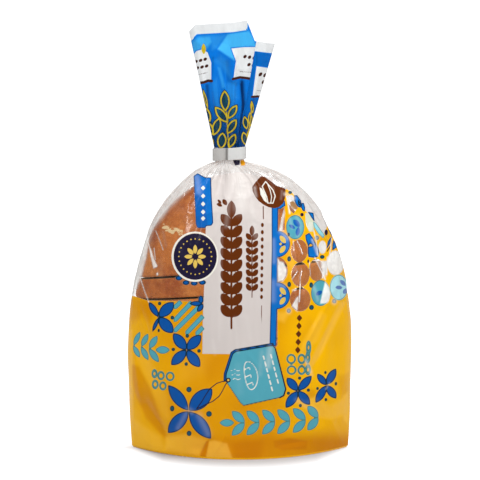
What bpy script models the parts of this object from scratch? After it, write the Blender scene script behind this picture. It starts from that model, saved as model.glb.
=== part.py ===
"""Half a sliced loaf in a printed bread bag, standing on its cut end and gathered at the top by a closure band.

Metres, +Z up. The origin is the middle of the face that the bag stands on, and the printed front looks along -Y.
The bag is one closed solid from its flat bottom, over the loaf's heel and through the band, to the flared tail.
"""

import math

import bmesh
import bpy
import numpy as np

# The bag over the loaf
BODY_HALF_WIDTH = 0.0594  # widest, at BELLY_HEIGHT
BODY_HALF_DEPTH = 0.0390
BELLY_HEIGHT = 0.0450
BASE_HALF_WIDTH = 0.0576
BASE_HALF_DEPTH = 0.0380
BASE_EDGE = 0.0012  # rounding where the sides meet the flat bottom
DOME_POWER = 2.6  # how full the front view's shoulders are
SIDE_DOME_START = 0.0520  # the side view starts to round over here
SIDE_DOME_POWER = 2.3
CORNER_FADE = 0.0420  # the pointed bottom corners have become round sides at this height

# The neck inside the band
NECK_BOTTOM = 0.1532
NECK_TOP = 0.1614
NECK_SHIFT = -0.0056  # the neck stands left of the bag's middle
NECK_HALF_WIDTH = 0.0079
NECK_HALF_DEPTH = 0.0046
NECK_POWER = 2.6
SHIFT_POWER = 6.0  # the shoulders lean to the neck only close under it
SHIFT_START = 0.1200

# The tail above the band, a fan of flattened film. Its top edge is given by x and z, left to right:
# a cut-back left corner, a long edge that rises to a peak, and the lower edge of the ply folded over at the right.
TAIL_EDGE = (
    (-0.0270, 0.2215),
    (-0.0236, 0.2251),
    (-0.0147, 0.2256),
    (-0.0034, 0.2263),
    (0.0036, 0.2274),
    (0.0078, 0.2166),
    (0.0186, 0.2152),
)
TAIL_HALF_DEPTH = 0.0042
TAIL_POWER = 2.2
TAIL_FLATNESS = 5.0
PLY_FOLD_TOP = 0.0082  # x of the folded-over ply's left edge, at the tail's top
PLY_FOLD_NECK = -0.0010  # and where it dies out, at the neck
PLY_STEP = 0.0020  # that ply lies this far in front

# Folds, all pressed in from the outline
PLEATS = 14  # gathers that run from the neck down the shoulders
PLEAT_DEPTH = 0.0021
PLEAT_REACH = 0.0190  # they fade out over this height
NECK_PLEAT_DEPTH = 0.0007
TAIL_FLUTES = 2.4  # across the tail's half width
TAIL_FLUTE_DEPTH = 0.0013

# Creases in the film: front (-1) or back (+1), x and z of both ends, half width and depth
CREASES = (
    (-1, -0.0520, 0.072, -0.0500, 0.034, 0.0045, 0.0014),
    (-1, -0.0530, 0.030, -0.0380, 0.006, 0.0050, 0.0018),
    (-1, -0.0230, 0.001, -0.0160, 0.013, 0.0035, 0.0013),
    (-1, 0.0020, 0.030, -0.0060, 0.004, 0.0060, 0.0007),
    (-1, 0.0330, 0.051, 0.0400, 0.031, 0.0040, 0.0012),
    (-1, 0.0370, 0.032, 0.0450, 0.016, 0.0045, 0.0016),
    (-1, 0.0500, 0.066, 0.0520, 0.030, 0.0045, 0.0012),
    (-1, -0.0480, 0.118, -0.0400, 0.090, 0.0045, 0.0012),
    (-1, 0.0390, 0.112, 0.0470, 0.088, 0.0045, 0.0012),
    (1, -0.0470, 0.070, -0.0300, 0.012, 0.0060, 0.0014),
    (1, 0.0080, 0.036, 0.0260, 0.006, 0.0055, 0.0012),
    (1, 0.0480, 0.062, 0.0380, 0.018, 0.0060, 0.0014),
)

# The closure band, a stiff strip bent twice round the neck with its ends side by side at the front
BAND_GAP = 0.0003  # between the neck and the strip
INNER_TURN = 0.0003
OUTER_TURN = 0.0004
BAND_HEIGHT = 0.0063
BAND_RISE = math.tan(math.radians(4.0))  # its right side sits higher
BAND_SOFT_EDGE = 0.00010
SLIT_AT = -0.0076  # x of the slit between the strip's ends
SLIT_WIDTH = 0.0018

# Fineness of the solids
RING_POINTS = 80
LOWER_RINGS = 8
DOME_RINGS = 22
TAIL_RINGS = 11
BAND_POINTS = 80


def clear_scene():
    for item in list(bpy.data.objects):
        bpy.data.objects.remove(item, do_unlink=True)


def make_material(name, colour, roughness, metallic=0.0):
    material = bpy.data.materials.new(name)
    material.use_nodes = True
    shader = material.node_tree.nodes["Principled BSDF"]
    shader.inputs["Base Color"].default_value = (*colour, 1.0)
    shader.inputs["Roughness"].default_value = roughness
    shader.inputs["Metallic"].default_value = metallic
    material.diffuse_color = (*colour, 1.0)
    return material


def ease(low, high, value):
    """0 up to low, 1 from high on, and smooth between."""
    t = np.clip((value - low) / (high - low), 0.0, 1.0)
    return t * t * (3.0 - 2.0 * t)


def between(first, second, share):
    return first + (second - first) * share


def oval(turn, half_width, half_depth, width_power, depth_power):
    """A superellipse in plan. turn is 0 at the front and grows towards +X."""
    across = np.sign(np.sin(turn)) * np.abs(np.sin(turn)) ** (2.0 / width_power)
    along = np.sign(np.cos(turn)) * np.abs(np.cos(turn)) ** (2.0 / depth_power)
    return half_width * across, -half_depth * along


def body_half_width(z):
    """A flattened dome over the belly, and a slight draw-in below it."""
    rise = np.clip((z - BELLY_HEIGHT) / (NECK_BOTTOM - BELLY_HEIGHT), 0.0, 1.0)
    dome = np.sqrt(
        (BODY_HALF_WIDTH**2 - NECK_HALF_WIDTH**2) * (1.0 - rise**DOME_POWER)
        + NECK_HALF_WIDTH**2
    )
    drop = np.clip((BELLY_HEIGHT - z) / BELLY_HEIGHT, 0.0, 1.0)
    return dome - (BODY_HALF_WIDTH - BASE_HALF_WIDTH) * drop**2


def body_half_depth(z):
    rise = np.clip((z - SIDE_DOME_START) / (NECK_BOTTOM - SIDE_DOME_START), 0.0, 1.0)
    dome = np.sqrt(
        (BODY_HALF_DEPTH**2 - NECK_HALF_DEPTH**2) * (1.0 - rise**SIDE_DOME_POWER)
        + NECK_HALF_DEPTH**2
    )
    drop = np.clip((BELLY_HEIGHT - z) / BELLY_HEIGHT, 0.0, 1.0)
    return dome - (BODY_HALF_DEPTH - BASE_HALF_DEPTH) * drop**2


def body_powers(turn, z):
    """Plan powers: a pointed lens at the bottom, a loaf with a flatter back above, and the neck's oval on top."""
    grown = ease(0.0, CORNER_FADE, z)
    necked = ease(NECK_BOTTOM - 0.030, NECK_BOTTOM, z)
    back = ease(-0.15, 0.15, -np.cos(turn))
    width_power = between(2.1, between(2.3, 2.9, back), grown)
    depth_power = between(1.05, between(1.75, 2.0, back), grown)
    return (
        between(width_power, NECK_POWER, necked),
        between(depth_power, NECK_POWER, necked),
    )


def body_plan(turn, z):
    width_power, depth_power = body_powers(turn, z)
    x, y = oval(turn, body_half_width(z), body_half_depth(z), width_power, depth_power)
    lean = np.clip((z - SHIFT_START) / (NECK_BOTTOM - SHIFT_START), 0.0, 1.0)
    return x + NECK_SHIFT * lean**SHIFT_POWER, y


def pleat_wave(turn):
    """0 on a gather's crest and 1 in its valley, with uneven gathers."""
    uneven = turn + 0.11 * np.sin(3.0 * turn + 0.6) + 0.07 * np.sin(5.0 * turn + 2.1)
    return (0.5 - 0.5 * np.cos(PLEATS * uneven)) ** 0.8


def crease_depth(x, y, z):
    """Depth pressed in by the creases: each is a soft valley along a straight line, fading at both ends."""
    total = np.zeros_like(x)
    for side, x0, z0, x1, z1, half_width, depth in CREASES:
        run = np.array([x1 - x0, z1 - z0])
        length = np.hypot(*run)
        along = ((x - x0) * run[0] + (z - z0) * run[1]) / length**2
        off = ((x - x0) * run[1] - (z - z0) * run[0]) / length
        fade = ease(-0.15, 0.25, along) * (1.0 - ease(0.75, 1.15, along))
        facing = ease(0.0, 0.012, side * y)
        total += depth * np.exp(-((off / half_width) ** 2)) * fade * facing
    return total


def body_relief(turn, x, y, z):
    under_neck = (NECK_BOTTOM - z) / PLEAT_REACH
    pleats = PLEAT_DEPTH * np.exp(-under_neck) * pleat_wave(turn)
    settle = ease(0.0, 0.004, NECK_BOTTOM - z)
    gathered = between(NECK_PLEAT_DEPTH * pleat_wave(turn), pleats, settle)
    quiet_base = ease(BASE_EDGE, 0.006, z)
    return gathered + crease_depth(x, y, z) * quiet_base


def pressed_in(turn, z):
    """One ring of the body, moved inwards along its own normals in plan."""
    x, y = body_plan(turn, z)
    tangent_x = np.roll(x, -1) - np.roll(x, 1)
    tangent_y = np.roll(y, -1) - np.roll(y, 1)
    length = np.hypot(tangent_x, tangent_y)
    depth = body_relief(turn, x, y, z)
    return x - tangent_y / length * depth, y + tangent_x / length * depth


def body_rings(turn):
    """Rings from the flat bottom to the band's lower edge."""
    edge = [(0.0, 0.8), (0.3, 0.25)]
    rings = []
    for height, inset in edge:
        x, y = body_plan(turn, BASE_EDGE)
        shrink = 1.0 - inset * BASE_EDGE / BASE_HALF_DEPTH
        rings.append(np.column_stack([x * shrink, y * shrink, 0 * x + height * BASE_EDGE]))
    lower = np.linspace(BASE_EDGE, BELLY_HEIGHT, LOWER_RINGS, endpoint=False)
    arc = np.linspace(0.0, math.pi / 2, DOME_RINGS)
    dome = BELLY_HEIGHT + (NECK_BOTTOM - BELLY_HEIGHT) * np.sin(arc)
    for height in [*lower, *dome]:
        z = np.full_like(turn, height)
        x, y = pressed_in(turn, z)
        rings.append(np.column_stack([x, y, z]))
    return rings


def neck_ring(turn, height):
    x, y = oval(turn, NECK_HALF_WIDTH, NECK_HALF_DEPTH, NECK_POWER, NECK_POWER)
    shrink = 1.0 - NECK_PLEAT_DEPTH / NECK_HALF_DEPTH * pleat_wave(turn)
    return np.column_stack([NECK_SHIFT + x * shrink, y * shrink, np.full_like(x, height)])


def tail_half_width(share):
    return between(NECK_HALF_WIDTH, (TAIL_EDGE[-1][0] - TAIL_EDGE[0][0]) / 2, share)


def tail_middle(share):
    return between(NECK_SHIFT, (TAIL_EDGE[-1][0] + TAIL_EDGE[0][0]) / 2, share)


def tail_ring(turn, share):
    """A ring of the tail, from the neck at share 0 to the top edge at share 1."""
    half_width = tail_half_width(share)
    half_depth = between(NECK_HALF_DEPTH, TAIL_HALF_DEPTH, share)
    width_power = between(NECK_POWER, TAIL_POWER, share)
    depth_power = between(NECK_POWER, TAIL_FLATNESS, share)
    x, y = oval(turn, half_width, half_depth, width_power, depth_power)
    across = x / half_width
    front = ease(0.0, 0.3, np.cos(turn))
    back = ease(0.0, 0.3, -np.cos(turn))
    size = TAIL_FLUTE_DEPTH * between(1.0, 0.55, share) * ease(0.0, 0.12, share)
    front_phase = (across + 0.15 * across**2) * (1.25 - 0.5 * share)
    back_phase = (across - 0.2) * (1.1 - 0.4 * share)
    y += size * front * np.sin(2 * math.pi * TAIL_FLUTES * front_phase)
    y += size * back * np.sin(2 * math.pi * TAIL_FLUTES * back_phase)
    x = x + tail_middle(share)
    fold = between(PLY_FOLD_NECK, PLY_FOLD_TOP, share)
    y -= PLY_STEP * ease(-0.0004, 0.0004, x - fold) * ease(0.15, 0.5, share) * front
    edge_x, edge_z = zip(*TAIL_EDGE)
    top_x = tail_middle(1.0) + across * tail_half_width(1.0)
    z = between(NECK_TOP, np.interp(top_x, edge_x, edge_z), share)
    return np.column_stack([x, y, z])


def build_bag(collection, material):
    """Lofts the rings into one closed solid: one flat face at the bottom, and a strip between the tail's two edges."""
    turn = np.arange(RING_POINTS) / RING_POINTS * 2 * math.pi
    rings = body_rings(turn)
    rings += [neck_ring(turn, h) for h in np.linspace(NECK_BOTTOM + 0.0012, NECK_TOP, 4)]
    rings += [tail_ring(turn, s) for s in np.linspace(0.0, 1.0, TAIL_RINGS + 1)[1:]]
    points = np.concatenate(rings)
    count, rows = RING_POINTS, len(rings)
    faces = [tuple(range(count - 1, -1, -1))]
    for row in range(rows - 1):
        for i in range(count):
            j = (i + 1) % count
            low, high = row * count, (row + 1) * count
            faces.append((low + i, low + j, high + j, high + i))
    # a point and its mirror at the back have the same x, so a ladder of faces closes the tail's top
    top, half, quarter = (rows - 1) * count, count // 2, count // 4
    for i in range(-quarter, quarter):
        corners = [i % count, (i + 1) % count, (half - i - 1) % count, (half - i) % count]
        faces.append(tuple(top + c for c in dict.fromkeys(corners)))
    mesh = bpy.data.meshes.new("bag")
    mesh.from_pydata(points.tolist(), [], faces)
    mesh.validate()
    shape = bmesh.new()
    shape.from_mesh(mesh)
    bmesh.ops.triangulate(shape, faces=[f for f in shape.faces if len(f.verts) == 4])
    bmesh.ops.recalc_face_normals(shape, faces=shape.faces)
    shape.to_mesh(mesh)
    shape.free()
    mesh.shade_smooth()
    mesh.set_sharp_from_angle(angle=math.radians(40))
    bag = bpy.data.objects.new("bag", mesh)
    bag.data.materials.append(material)
    collection.objects.link(bag)
    return bag


def add_outline(curve, points):
    spline = curve.splines.new("POLY")
    spline.points.add(len(points) - 1)
    for place, (x, y) in zip(spline.points, points):
        place.co = (x, y, 0.0, 1.0)
    spline.use_cyclic_u = True


def band_outline():
    """The band seen from above: an oval with a notch as deep as the outer turn, where the strip's ends meet."""
    turn = np.arange(BAND_POINTS) / BAND_POINTS * 2 * math.pi
    grown = BAND_GAP + INNER_TURN + OUTER_TURN
    x, y = oval(turn, NECK_HALF_WIDTH + grown, NECK_HALF_DEPTH + grown, NECK_POWER, NECK_POWER)
    left = SLIT_AT - SLIT_WIDTH / 2 - NECK_SHIFT
    right = SLIT_AT + SLIT_WIDTH / 2 - NECK_SHIFT
    front = np.where(y < 0)[0]
    front = front[np.argsort(x[front])]
    left_y, right_y = np.interp([left, right], x[front], y[front])
    rim = []
    for i in range(BAND_POINTS):
        if y[i] < 0 and left - 0.0001 < x[i] < right + 0.0001:
            continue
        rim.append((x[i], y[i]))
        j = (i + 1) % BAND_POINTS
        if y[i] < 0 and x[i] <= left - 0.0001 < x[j]:
            rim += [(left, left_y), (left, left_y + OUTER_TURN)]
            rim += [(right, right_y + OUTER_TURN), (right, right_y)]
    return rim


def build_band(collection, material):
    """The outline with the neck's oval cut out, drawn up to the strip's height and then slanted."""
    turn = np.arange(BAND_POINTS) / BAND_POINTS * 2 * math.pi
    hole = oval(turn, NECK_HALF_WIDTH + BAND_GAP, NECK_HALF_DEPTH + BAND_GAP, NECK_POWER, NECK_POWER)
    curve = bpy.data.curves.new("band_outline", "CURVE")
    curve.dimensions = "2D"
    curve.fill_mode = "BOTH"
    curve.extrude = BAND_HEIGHT / 2 - BAND_SOFT_EDGE
    curve.bevel_depth = BAND_SOFT_EDGE
    curve.bevel_resolution = 0
    curve.offset = -BAND_SOFT_EDGE
    add_outline(curve, band_outline())
    add_outline(curve, list(zip(*hole)))
    drawn = bpy.data.objects.new("band_outline", curve)
    collection.objects.link(drawn)
    bpy.context.view_layer.update()
    mesh = bpy.data.meshes.new_from_object(drawn.evaluated_get(bpy.context.evaluated_depsgraph_get()))
    bpy.data.objects.remove(drawn, do_unlink=True)
    shape = bmesh.new()
    shape.from_mesh(mesh)
    bmesh.ops.remove_doubles(shape, verts=shape.verts, dist=1e-6)
    bmesh.ops.recalc_face_normals(shape, faces=shape.faces)
    for vert in shape.verts:
        vert.co.z += BAND_RISE * vert.co.x
    shape.to_mesh(mesh)
    shape.free()
    mesh.materials.clear()
    mesh.materials.append(material)
    mesh.shade_smooth()
    mesh.set_sharp_from_angle(angle=math.radians(35))
    band = bpy.data.objects.new("closure_band", mesh)
    band.location = (NECK_SHIFT, 0.0, (NECK_BOTTOM + NECK_TOP) / 2)
    collection.objects.link(band)
    return band


def main():
    clear_scene()
    collection = bpy.data.collections.new("bagged_half_loaf")
    bpy.context.scene.collection.children.link(collection)
    film = make_material("printed_film", (0.80, 0.36, 0.02), 0.28)
    strip = make_material("band_plastic", (0.78, 0.79, 0.77), 0.42)
    build_bag(collection, film)
    build_band(collection, strip)


main()
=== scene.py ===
import math
import time

import bpy
import numpy as np
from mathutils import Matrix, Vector


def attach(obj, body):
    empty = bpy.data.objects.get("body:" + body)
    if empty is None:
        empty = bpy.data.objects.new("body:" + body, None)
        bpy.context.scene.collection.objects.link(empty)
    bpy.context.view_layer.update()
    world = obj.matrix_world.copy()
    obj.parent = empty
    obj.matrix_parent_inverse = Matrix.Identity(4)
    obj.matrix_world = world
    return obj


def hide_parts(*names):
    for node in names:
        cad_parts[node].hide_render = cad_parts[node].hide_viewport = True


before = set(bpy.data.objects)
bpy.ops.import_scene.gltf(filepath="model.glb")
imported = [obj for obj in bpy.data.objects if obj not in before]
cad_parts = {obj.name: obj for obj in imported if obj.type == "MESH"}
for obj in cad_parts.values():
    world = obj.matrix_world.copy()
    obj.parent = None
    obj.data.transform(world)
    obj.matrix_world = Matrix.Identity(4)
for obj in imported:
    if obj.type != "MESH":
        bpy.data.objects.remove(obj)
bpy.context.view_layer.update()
startedAt = time.time()


def report(stage):
    # what is done, and the seconds since the start
    print(stage, round(time.time() - startedAt, 1))


# The view from the front, which the print is laid out in: 480 units across the picture, y down
camera = {
    "elevation": 6.0,  # degrees
    "distance": 1.5,
    "span": 0.2544,  # metres across the picture at the bag's middle
    "height": 0.1113,  # of the picture's middle
    "units": 480,
    "sensor": 36,  # mm
}

elevation = math.radians(camera["elevation"])
lookBack = np.array([0.0, -math.cos(elevation), math.sin(elevation)])
lookUp = np.array([0.0, math.sin(elevation), math.cos(elevation)])
lookFrom = np.array([0.0, 0.0, camera["height"]]) + lookBack * camera["distance"]


def frontView(points):
    # a point's place in the front view: its offset over its depth, counted from the picture's middle
    away = points - lookFrom
    scale = camera["units"] * camera["distance"] / camera["span"] / -(away @ lookBack)
    middle = camera["units"] / 2
    return middle + scale * points[..., 0], middle - scale * (away @ lookUp)


def ease(low, high, value):
    # 0 up to low, 1 from high on, smooth between
    t = np.clip((value - low) / (high - low), 0.0, 1.0)
    return t * t * (3.0 - 2.0 * t)


def mix(first, second, share):
    # first at share 0, second at share 1, in a straight line between
    return first + (second - first) * share


lattice = {"size": 4096, "primes": (73856093, 19349663, 83492791)}


def noise(x, y, z, seed):
    # seeded values at whole coordinates, blended smoothly between the eight around each point
    table = np.random.default_rng(seed).random(lattice["size"])
    cells = [np.floor(c).astype(np.int64) for c in (x, y, z)]
    parts = [c - cell for c, cell in zip((x, y, z), cells)]
    parts = [p * p * (3 - 2 * p) for p in parts]
    total = 0.0
    for corner in np.ndindex(2, 2, 2):
        index, weight = 0, 1.0
        for step, cell, part, prime in zip(corner, cells, parts, lattice["primes"]):
            index = index ^ ((cell + step) * prime)
            weight = weight * (part if step else 1 - part)
        total = total + table[index & (lattice["size"] - 1)] * weight
    return total


def crests(x, y, z, seed):
    # sharp crests where the noise crosses its middle
    return (1 - np.abs(2 * noise(x, y, z, seed) - 1)) ** 3


def layered(pattern, x, y, z, octaves, seed):
    # the mean of layers of a pattern, each with half the size and half the weight of the one before
    sizes = [0.5**octave for octave in range(octaves)]
    layers = [pattern(x / size, y / size, z / size, seed + i) * size for i, size in enumerate(sizes)]
    return sum(layers) / sum(sizes)


# The bag's form, from the same sizes as its solid
bag = {
    "width": {"half": 0.0594, "neckHalf": 0.0079, "baseHalf": 0.0576, "start": 0.0450, "power": 2.6},
    "depth": {"half": 0.0390, "neckHalf": 0.0046, "baseHalf": 0.0380, "start": 0.0520, "power": 2.3},
    "widthPowers": (2.1, 2.3, 2.9),  # of the plan: at the bottom, then at the front and the back above it
    "depthPowers": (1.05, 1.75, 2.0),
    "bellyHeight": 0.0450,
    "baseEdge": 0.0012,
    "cornerFade": 0.0420,  # the pointed corners of the bottom are gone at this height
    "neckBottom": 0.1532,
    "neckTop": 0.1614,
    "neckBlend": 0.0300,  # under the neck, where its oval begins
    "neckShift": -0.0056,
    "neckPower": 2.6,
    "shiftPower": 6.0,
    "shiftStart": 0.1200,
    "pleats": 14,
    "pleatDepth": 0.0021,
    "pleatReach": 0.0190,
    "frontColumns": 300,
    "backColumns": 130,
    "lowRows": 92,
    "domeRows": 228,
    "neckRows": 9,  # inside the band
}

# creases shared with the solid: front (-1) or back (+1), x and z of both ends, half width and depth
bagCreases = [
    (-1, -0.0520, 0.072, -0.0500, 0.034, 0.0045, 0.0014),
    (-1, -0.0530, 0.030, -0.0380, 0.006, 0.0050, 0.0018),
    (-1, -0.0230, 0.001, -0.0160, 0.013, 0.0035, 0.0013),
    (-1, 0.0020, 0.030, -0.0060, 0.004, 0.0060, 0.0007),
    (-1, 0.0330, 0.051, 0.0400, 0.031, 0.0040, 0.0012),
    (-1, 0.0370, 0.032, 0.0450, 0.016, 0.0045, 0.0016),
    (-1, 0.0500, 0.066, 0.0520, 0.030, 0.0045, 0.0012),
    (-1, -0.0480, 0.118, -0.0400, 0.090, 0.0045, 0.0012),
    (-1, 0.0390, 0.112, 0.0470, 0.088, 0.0045, 0.0012),
    (1, -0.0470, 0.070, -0.0300, 0.012, 0.0060, 0.0014),
    (1, 0.0080, 0.036, 0.0260, 0.006, 0.0055, 0.0012),
    (1, 0.0480, 0.062, 0.0380, 0.018, 0.0060, 0.0014),
]

# sharp creases at the front: view x and y of both ends, half width, height in mm, up (+) or in (-)
sharpCreases = [
    (146, 240, 155, 268, 2.2, 0.5), (154, 231, 163, 250, 1.4, 0.35), (140, 278, 149, 302, 1.6, 0.4),
    (297, 240, 303, 254, 1.5, 0.4), (302, 268, 300, 284, 1.6, 0.45), (300, 284, 297, 312, 2.0, 0.5),
    (315, 257, 326, 281, 1.8, 0.5), (298, 270, 291, 280, 1.4, 0.35), (327, 256, 326, 278, 1.4, 0.35),
    (325, 281, 320, 305, 3.0, -0.5), (284, 208, 280, 232, 2.2, 0.5), (292, 196, 297, 214, 2.6, -0.5),
    (315, 222, 326, 240, 2.0, 0.5), (304, 196, 321, 222, 1.8, 0.4), (262, 166, 300, 190, 2.0, 0.5),
    (250, 166, 276, 186, 1.6, -0.4), (212, 166, 190, 186, 2.0, 0.5), (203, 176, 170, 206, 1.8, 0.4),
    (222, 164, 214, 178, 1.4, -0.4), (236, 166, 240, 196, 2.2, -0.4), (246, 166, 256, 190, 1.8, 0.4),
    (330, 300, 297, 360, 4.5, 0.5), (339, 308, 312, 372, 5.0, -0.5), (302, 352, 318, 398, 3.5, 0.6),
    (311, 393, 326, 418, 4.0, -0.7), (318, 398, 344, 446, 6.0, 0.6), (139, 398, 168, 441, 6.0, -0.8),
    (133, 350, 141, 404, 4.0, 0.6), (197, 457, 210, 438, 3.2, -0.7), (212, 458, 226, 434, 4.0, 0.5),
    (140, 304, 152, 345, 4.5, -0.5), (276, 446, 312, 440, 5.0, -0.6), (246, 352, 262, 372, 4.0, 0.3),
]


def domed(z, half, neckHalf, baseHalf, start, power):
    # a flattened dome from its start up to the neck, and a slight draw-in from the belly to the base
    rise = np.clip((z - start) / (bag["neckBottom"] - start), 0.0, 1.0)
    dome = np.sqrt((half**2 - neckHalf**2) * (1.0 - rise**power) + neckHalf**2)
    drop = np.clip((bag["bellyHeight"] - z) / bag["bellyHeight"], 0.0, 1.0)
    return dome - (half - baseHalf) * drop**2


def superellipse(turn, halfWidth, halfDepth, widthPower, depthPower):
    # x and y on a superellipse, by a turn from the front: sine and cosine, each to 2 over its power
    x = halfWidth * np.sign(np.sin(turn)) * np.abs(np.sin(turn)) ** (2.0 / widthPower)
    y = -halfDepth * np.sign(np.cos(turn)) * np.abs(np.cos(turn)) ** (2.0 / depthPower)
    return x, y


def bodyPlan(turn, z):
    # superellipses: a pointed lens at the bottom, a loaf with a flatter back, the leaning neck's oval on top
    grown = ease(0.0, bag["cornerFade"], z)
    necked = ease(bag["neckBottom"] - bag["neckBlend"], bag["neckBottom"], z)
    back = ease(-0.15, 0.15, -np.cos(turn))
    powers = [mix(mix(low, mix(atFront, atBack, back), grown), bag["neckPower"], necked)
              for low, atFront, atBack in (bag["widthPowers"], bag["depthPowers"])]
    x, y = superellipse(turn, domed(z, **bag["width"]), domed(z, **bag["depth"]), *powers)
    lean = np.clip((z - bag["shiftStart"]) / (bag["neckBottom"] - bag["shiftStart"]), 0.0, 1.0)
    return x + bag["neckShift"] * lean ** bag["shiftPower"], y


def evenRing(z, frontCount, backCount):
    # turns that share one height's outline into equal steps, front from left to right and then the back
    fine = np.linspace(-math.pi / 2, 1.5 * math.pi, 2401)
    x, y = bodyPlan(fine, np.full_like(fine, z))
    length = np.concatenate([[0], np.cumsum(np.hypot(np.diff(x), np.diff(y)))])
    half = len(fine) // 2
    front = np.interp(np.linspace(0, length[half], frontCount, endpoint=False), length, fine)
    back = np.interp(np.linspace(length[half], length[-1], backCount, endpoint=False), length, fine)
    return np.concatenate([front, back])


def pleatWave(turn):
    # a cosine round the neck, unevenly spaced and a little full
    uneven = turn + 0.11 * np.sin(3.0 * turn + 0.6) + 0.07 * np.sin(5.0 * turn + 2.1)
    return (0.5 - 0.5 * np.cos(bag["pleats"] * uneven)) ** 0.8


def alongLine(x, y, x0, y0, x1, y1):
    # how far along a line a point lies, 0 to 1 between the ends, and how far off it
    runX, runY = x1 - x0, y1 - y0
    length = math.hypot(runX, runY)
    along = ((x - x0) * runX + (y - y0) * runY) / length**2
    return along, np.abs((x - x0) * runY - (y - y0) * runX) / length


def creaseDepth(x, y, z):
    # a groove over each crease: a bell across, faded at both ends and towards the other side of the bag
    total = np.zeros_like(x)
    for side, x0, z0, x1, z1, halfWidth, depth in bagCreases:
        along, off = alongLine(x, z, x0, z0, x1, z1)
        fade = ease(-0.15, 0.25, along) * (1.0 - ease(0.75, 1.15, along))
        total += depth * np.exp(-((off / halfWidth) ** 2)) * fade * ease(0.0, 0.012, side * y)
    return total


def tents(u, v, creases, sidePower, endPower):
    # metres of relief over each line: sides that fall off evenly, to a power, and ends that taper like a sine
    total = np.zeros_like(u)
    for x0, y0, x1, y1, halfWidth, height in creases:
        along, off = alongLine(u, v, x0, y0, x1, y1)
        taper = np.sin(math.pi * np.clip(along, 0, 1)) ** endPower
        total += height * 0.001 * np.clip(1 - off / halfWidth, 0, 1) ** sidePower * taper
    return total


# loose film, in metres; sizes of waves and crinkles are counts in a metre or, round the bag, in a radian
looseFilm = {
    "neckPleat": 0.0007,
    "gather": 0.0008,
    "gatherReach": 0.011,
    "crinkle": 0.0011,
    "crinkleSizes": (4.2, 75, 18),
    "wave": 0.0022,
    "waveSizes": (42, 30, 30),
    "crinkleSeed": 5,
    "waveSeed": 11,
}


def filmRelief(turn, x, y, z, u, v):
    # depth pressed in along the normal: gathers under the neck, creases, crinkles where the film is loose
    underNeck = np.clip(bag["neckBottom"] - z, 0.0, 1.0)
    pleats = bag["pleatDepth"] * np.exp(-underNeck / bag["pleatReach"]) * pleatWave(turn)
    total = mix(looseFilm["neckPleat"] * pleatWave(turn), pleats, ease(0.0, 0.004, underNeck))
    total += creaseDepth(x, y, z) * ease(bag["baseEdge"], 0.006, z)
    wander = 0.5 * np.sin(2 * turn + 3 * u / 60)
    fine = np.abs(np.sin(17 * turn + wander)) * 0.8 + np.abs(np.sin(29 * turn + 2 * wander + 1)) * 0.4
    total += looseFilm["gather"] * fine * np.exp(-underNeck / looseFilm["gatherReach"])
    atRight = 0.7 * ease(0.026, 0.046, x) * ease(0.062, 0.085, z)
    atLeft = 0.35 * ease(-0.040, -0.050, x) * ease(0.07, 0.09, z)
    loose = np.clip(ease(0.100, 0.134, z) + atRight + atLeft, 0, 1)
    byTurn, byHeight, byWidth = looseFilm["crinkleSizes"]
    crinkle = layered(crests, turn * byTurn, z * byHeight, x * byWidth, 3, looseFilm["crinkleSeed"]) - 0.35
    total -= looseFilm["crinkle"] * crinkle * loose * ease(0.001, 0.006, underNeck)
    byX, byY, byZ = looseFilm["waveSizes"]
    wave = layered(noise, x * byX, y * byY, z * byZ, 2, looseFilm["waveSeed"]) - 0.5
    steady = ease(0.004, 0.02, z) * (1 - 0.6 * ease(0.1, 0.15, z)) * ease(-0.001, 0.010, underNeck)
    total += looseFilm["wave"] * wave * steady
    return total - tents(u, v, sharpCreases, 1.3, 0.6) * ease(0.0, 0.3, np.cos(turn))


def gridNormals(points):
    # the cross product of the steps in both directions of a grid that closes on itself in the first
    alongRing = np.roll(points, -1, 0) - np.roll(points, 1, 0)
    normal = np.cross(alongRing, np.gradient(points, axis=1))
    return normal / np.maximum(np.linalg.norm(normal, axis=-1, keepdims=True), 1e-12)


def bodyGrid():
    # rows up the bag, closer where the outline curves, each a ring of equal steps pressed in by the relief
    bottom, belly, neck = bag["baseEdge"], bag["bellyHeight"], bag["neckBottom"]
    heights = np.concatenate([
        np.linspace(bottom, belly, bag["lowRows"], endpoint=False),
        belly + (neck - belly) * np.sin(np.linspace(0.0, math.pi / 2, bag["domeRows"])),
        np.linspace(neck, bag["neckTop"] - 0.001, bag["neckRows"] + 1)[1:],
    ])
    turns = np.stack([evenRing(z, bag["frontColumns"], bag["backColumns"]) for z in heights], axis=1)
    z = np.broadcast_to(heights, turns.shape)
    x, y = bodyPlan(turns, z)
    points = np.stack([x, y, z], axis=-1)
    depth = filmRelief(turns, x, y, z, *frontView(points))
    points = points - gridNormals(points) * depth[..., None]
    points[..., 2] = np.maximum(points[..., 2], bottom / 2)
    return points


# Shapes of the print: each gives a distance inside (+) or outside (-), in the units of its coordinates

def disc(u, v, cx, cy, rx, ry):
    # how far the point's share of the radii falls short of 1, times the smaller radius
    return (1 - np.hypot((u - cx) / rx, (v - cy) / ry)) * min(rx, ry)


def ring(u, v, cx, cy, rx, ry, halfWidth):
    # the stretch within half a width of a disc's edge
    return halfWidth - np.abs(disc(u, v, cx, cy, rx, ry))


def halfDisc(u, v, cx, cy, rx, ry, edge):
    # the part of a disc to the right of a straight edge
    return np.minimum(disc(u, v, cx, cy, rx, ry), u - edge)


def leaf(u, v, x0, y0, x1, y1, halfWidth):
    # the overlap of two circles that meet at both tips
    half = math.hypot(x1 - x0, y1 - y0) / 2
    ax, ay = (x1 - x0) / (2 * half), (y1 - y0) / (2 * half)
    du, dv = u - (x0 + x1) / 2, v - (y0 + y1) / 2
    along, across = du * ax + dv * ay, np.abs(du * ay - dv * ax)
    radius = (half**2 + halfWidth**2) / (2 * halfWidth)
    return radius - np.hypot(along, across + radius - halfWidth)


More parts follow.
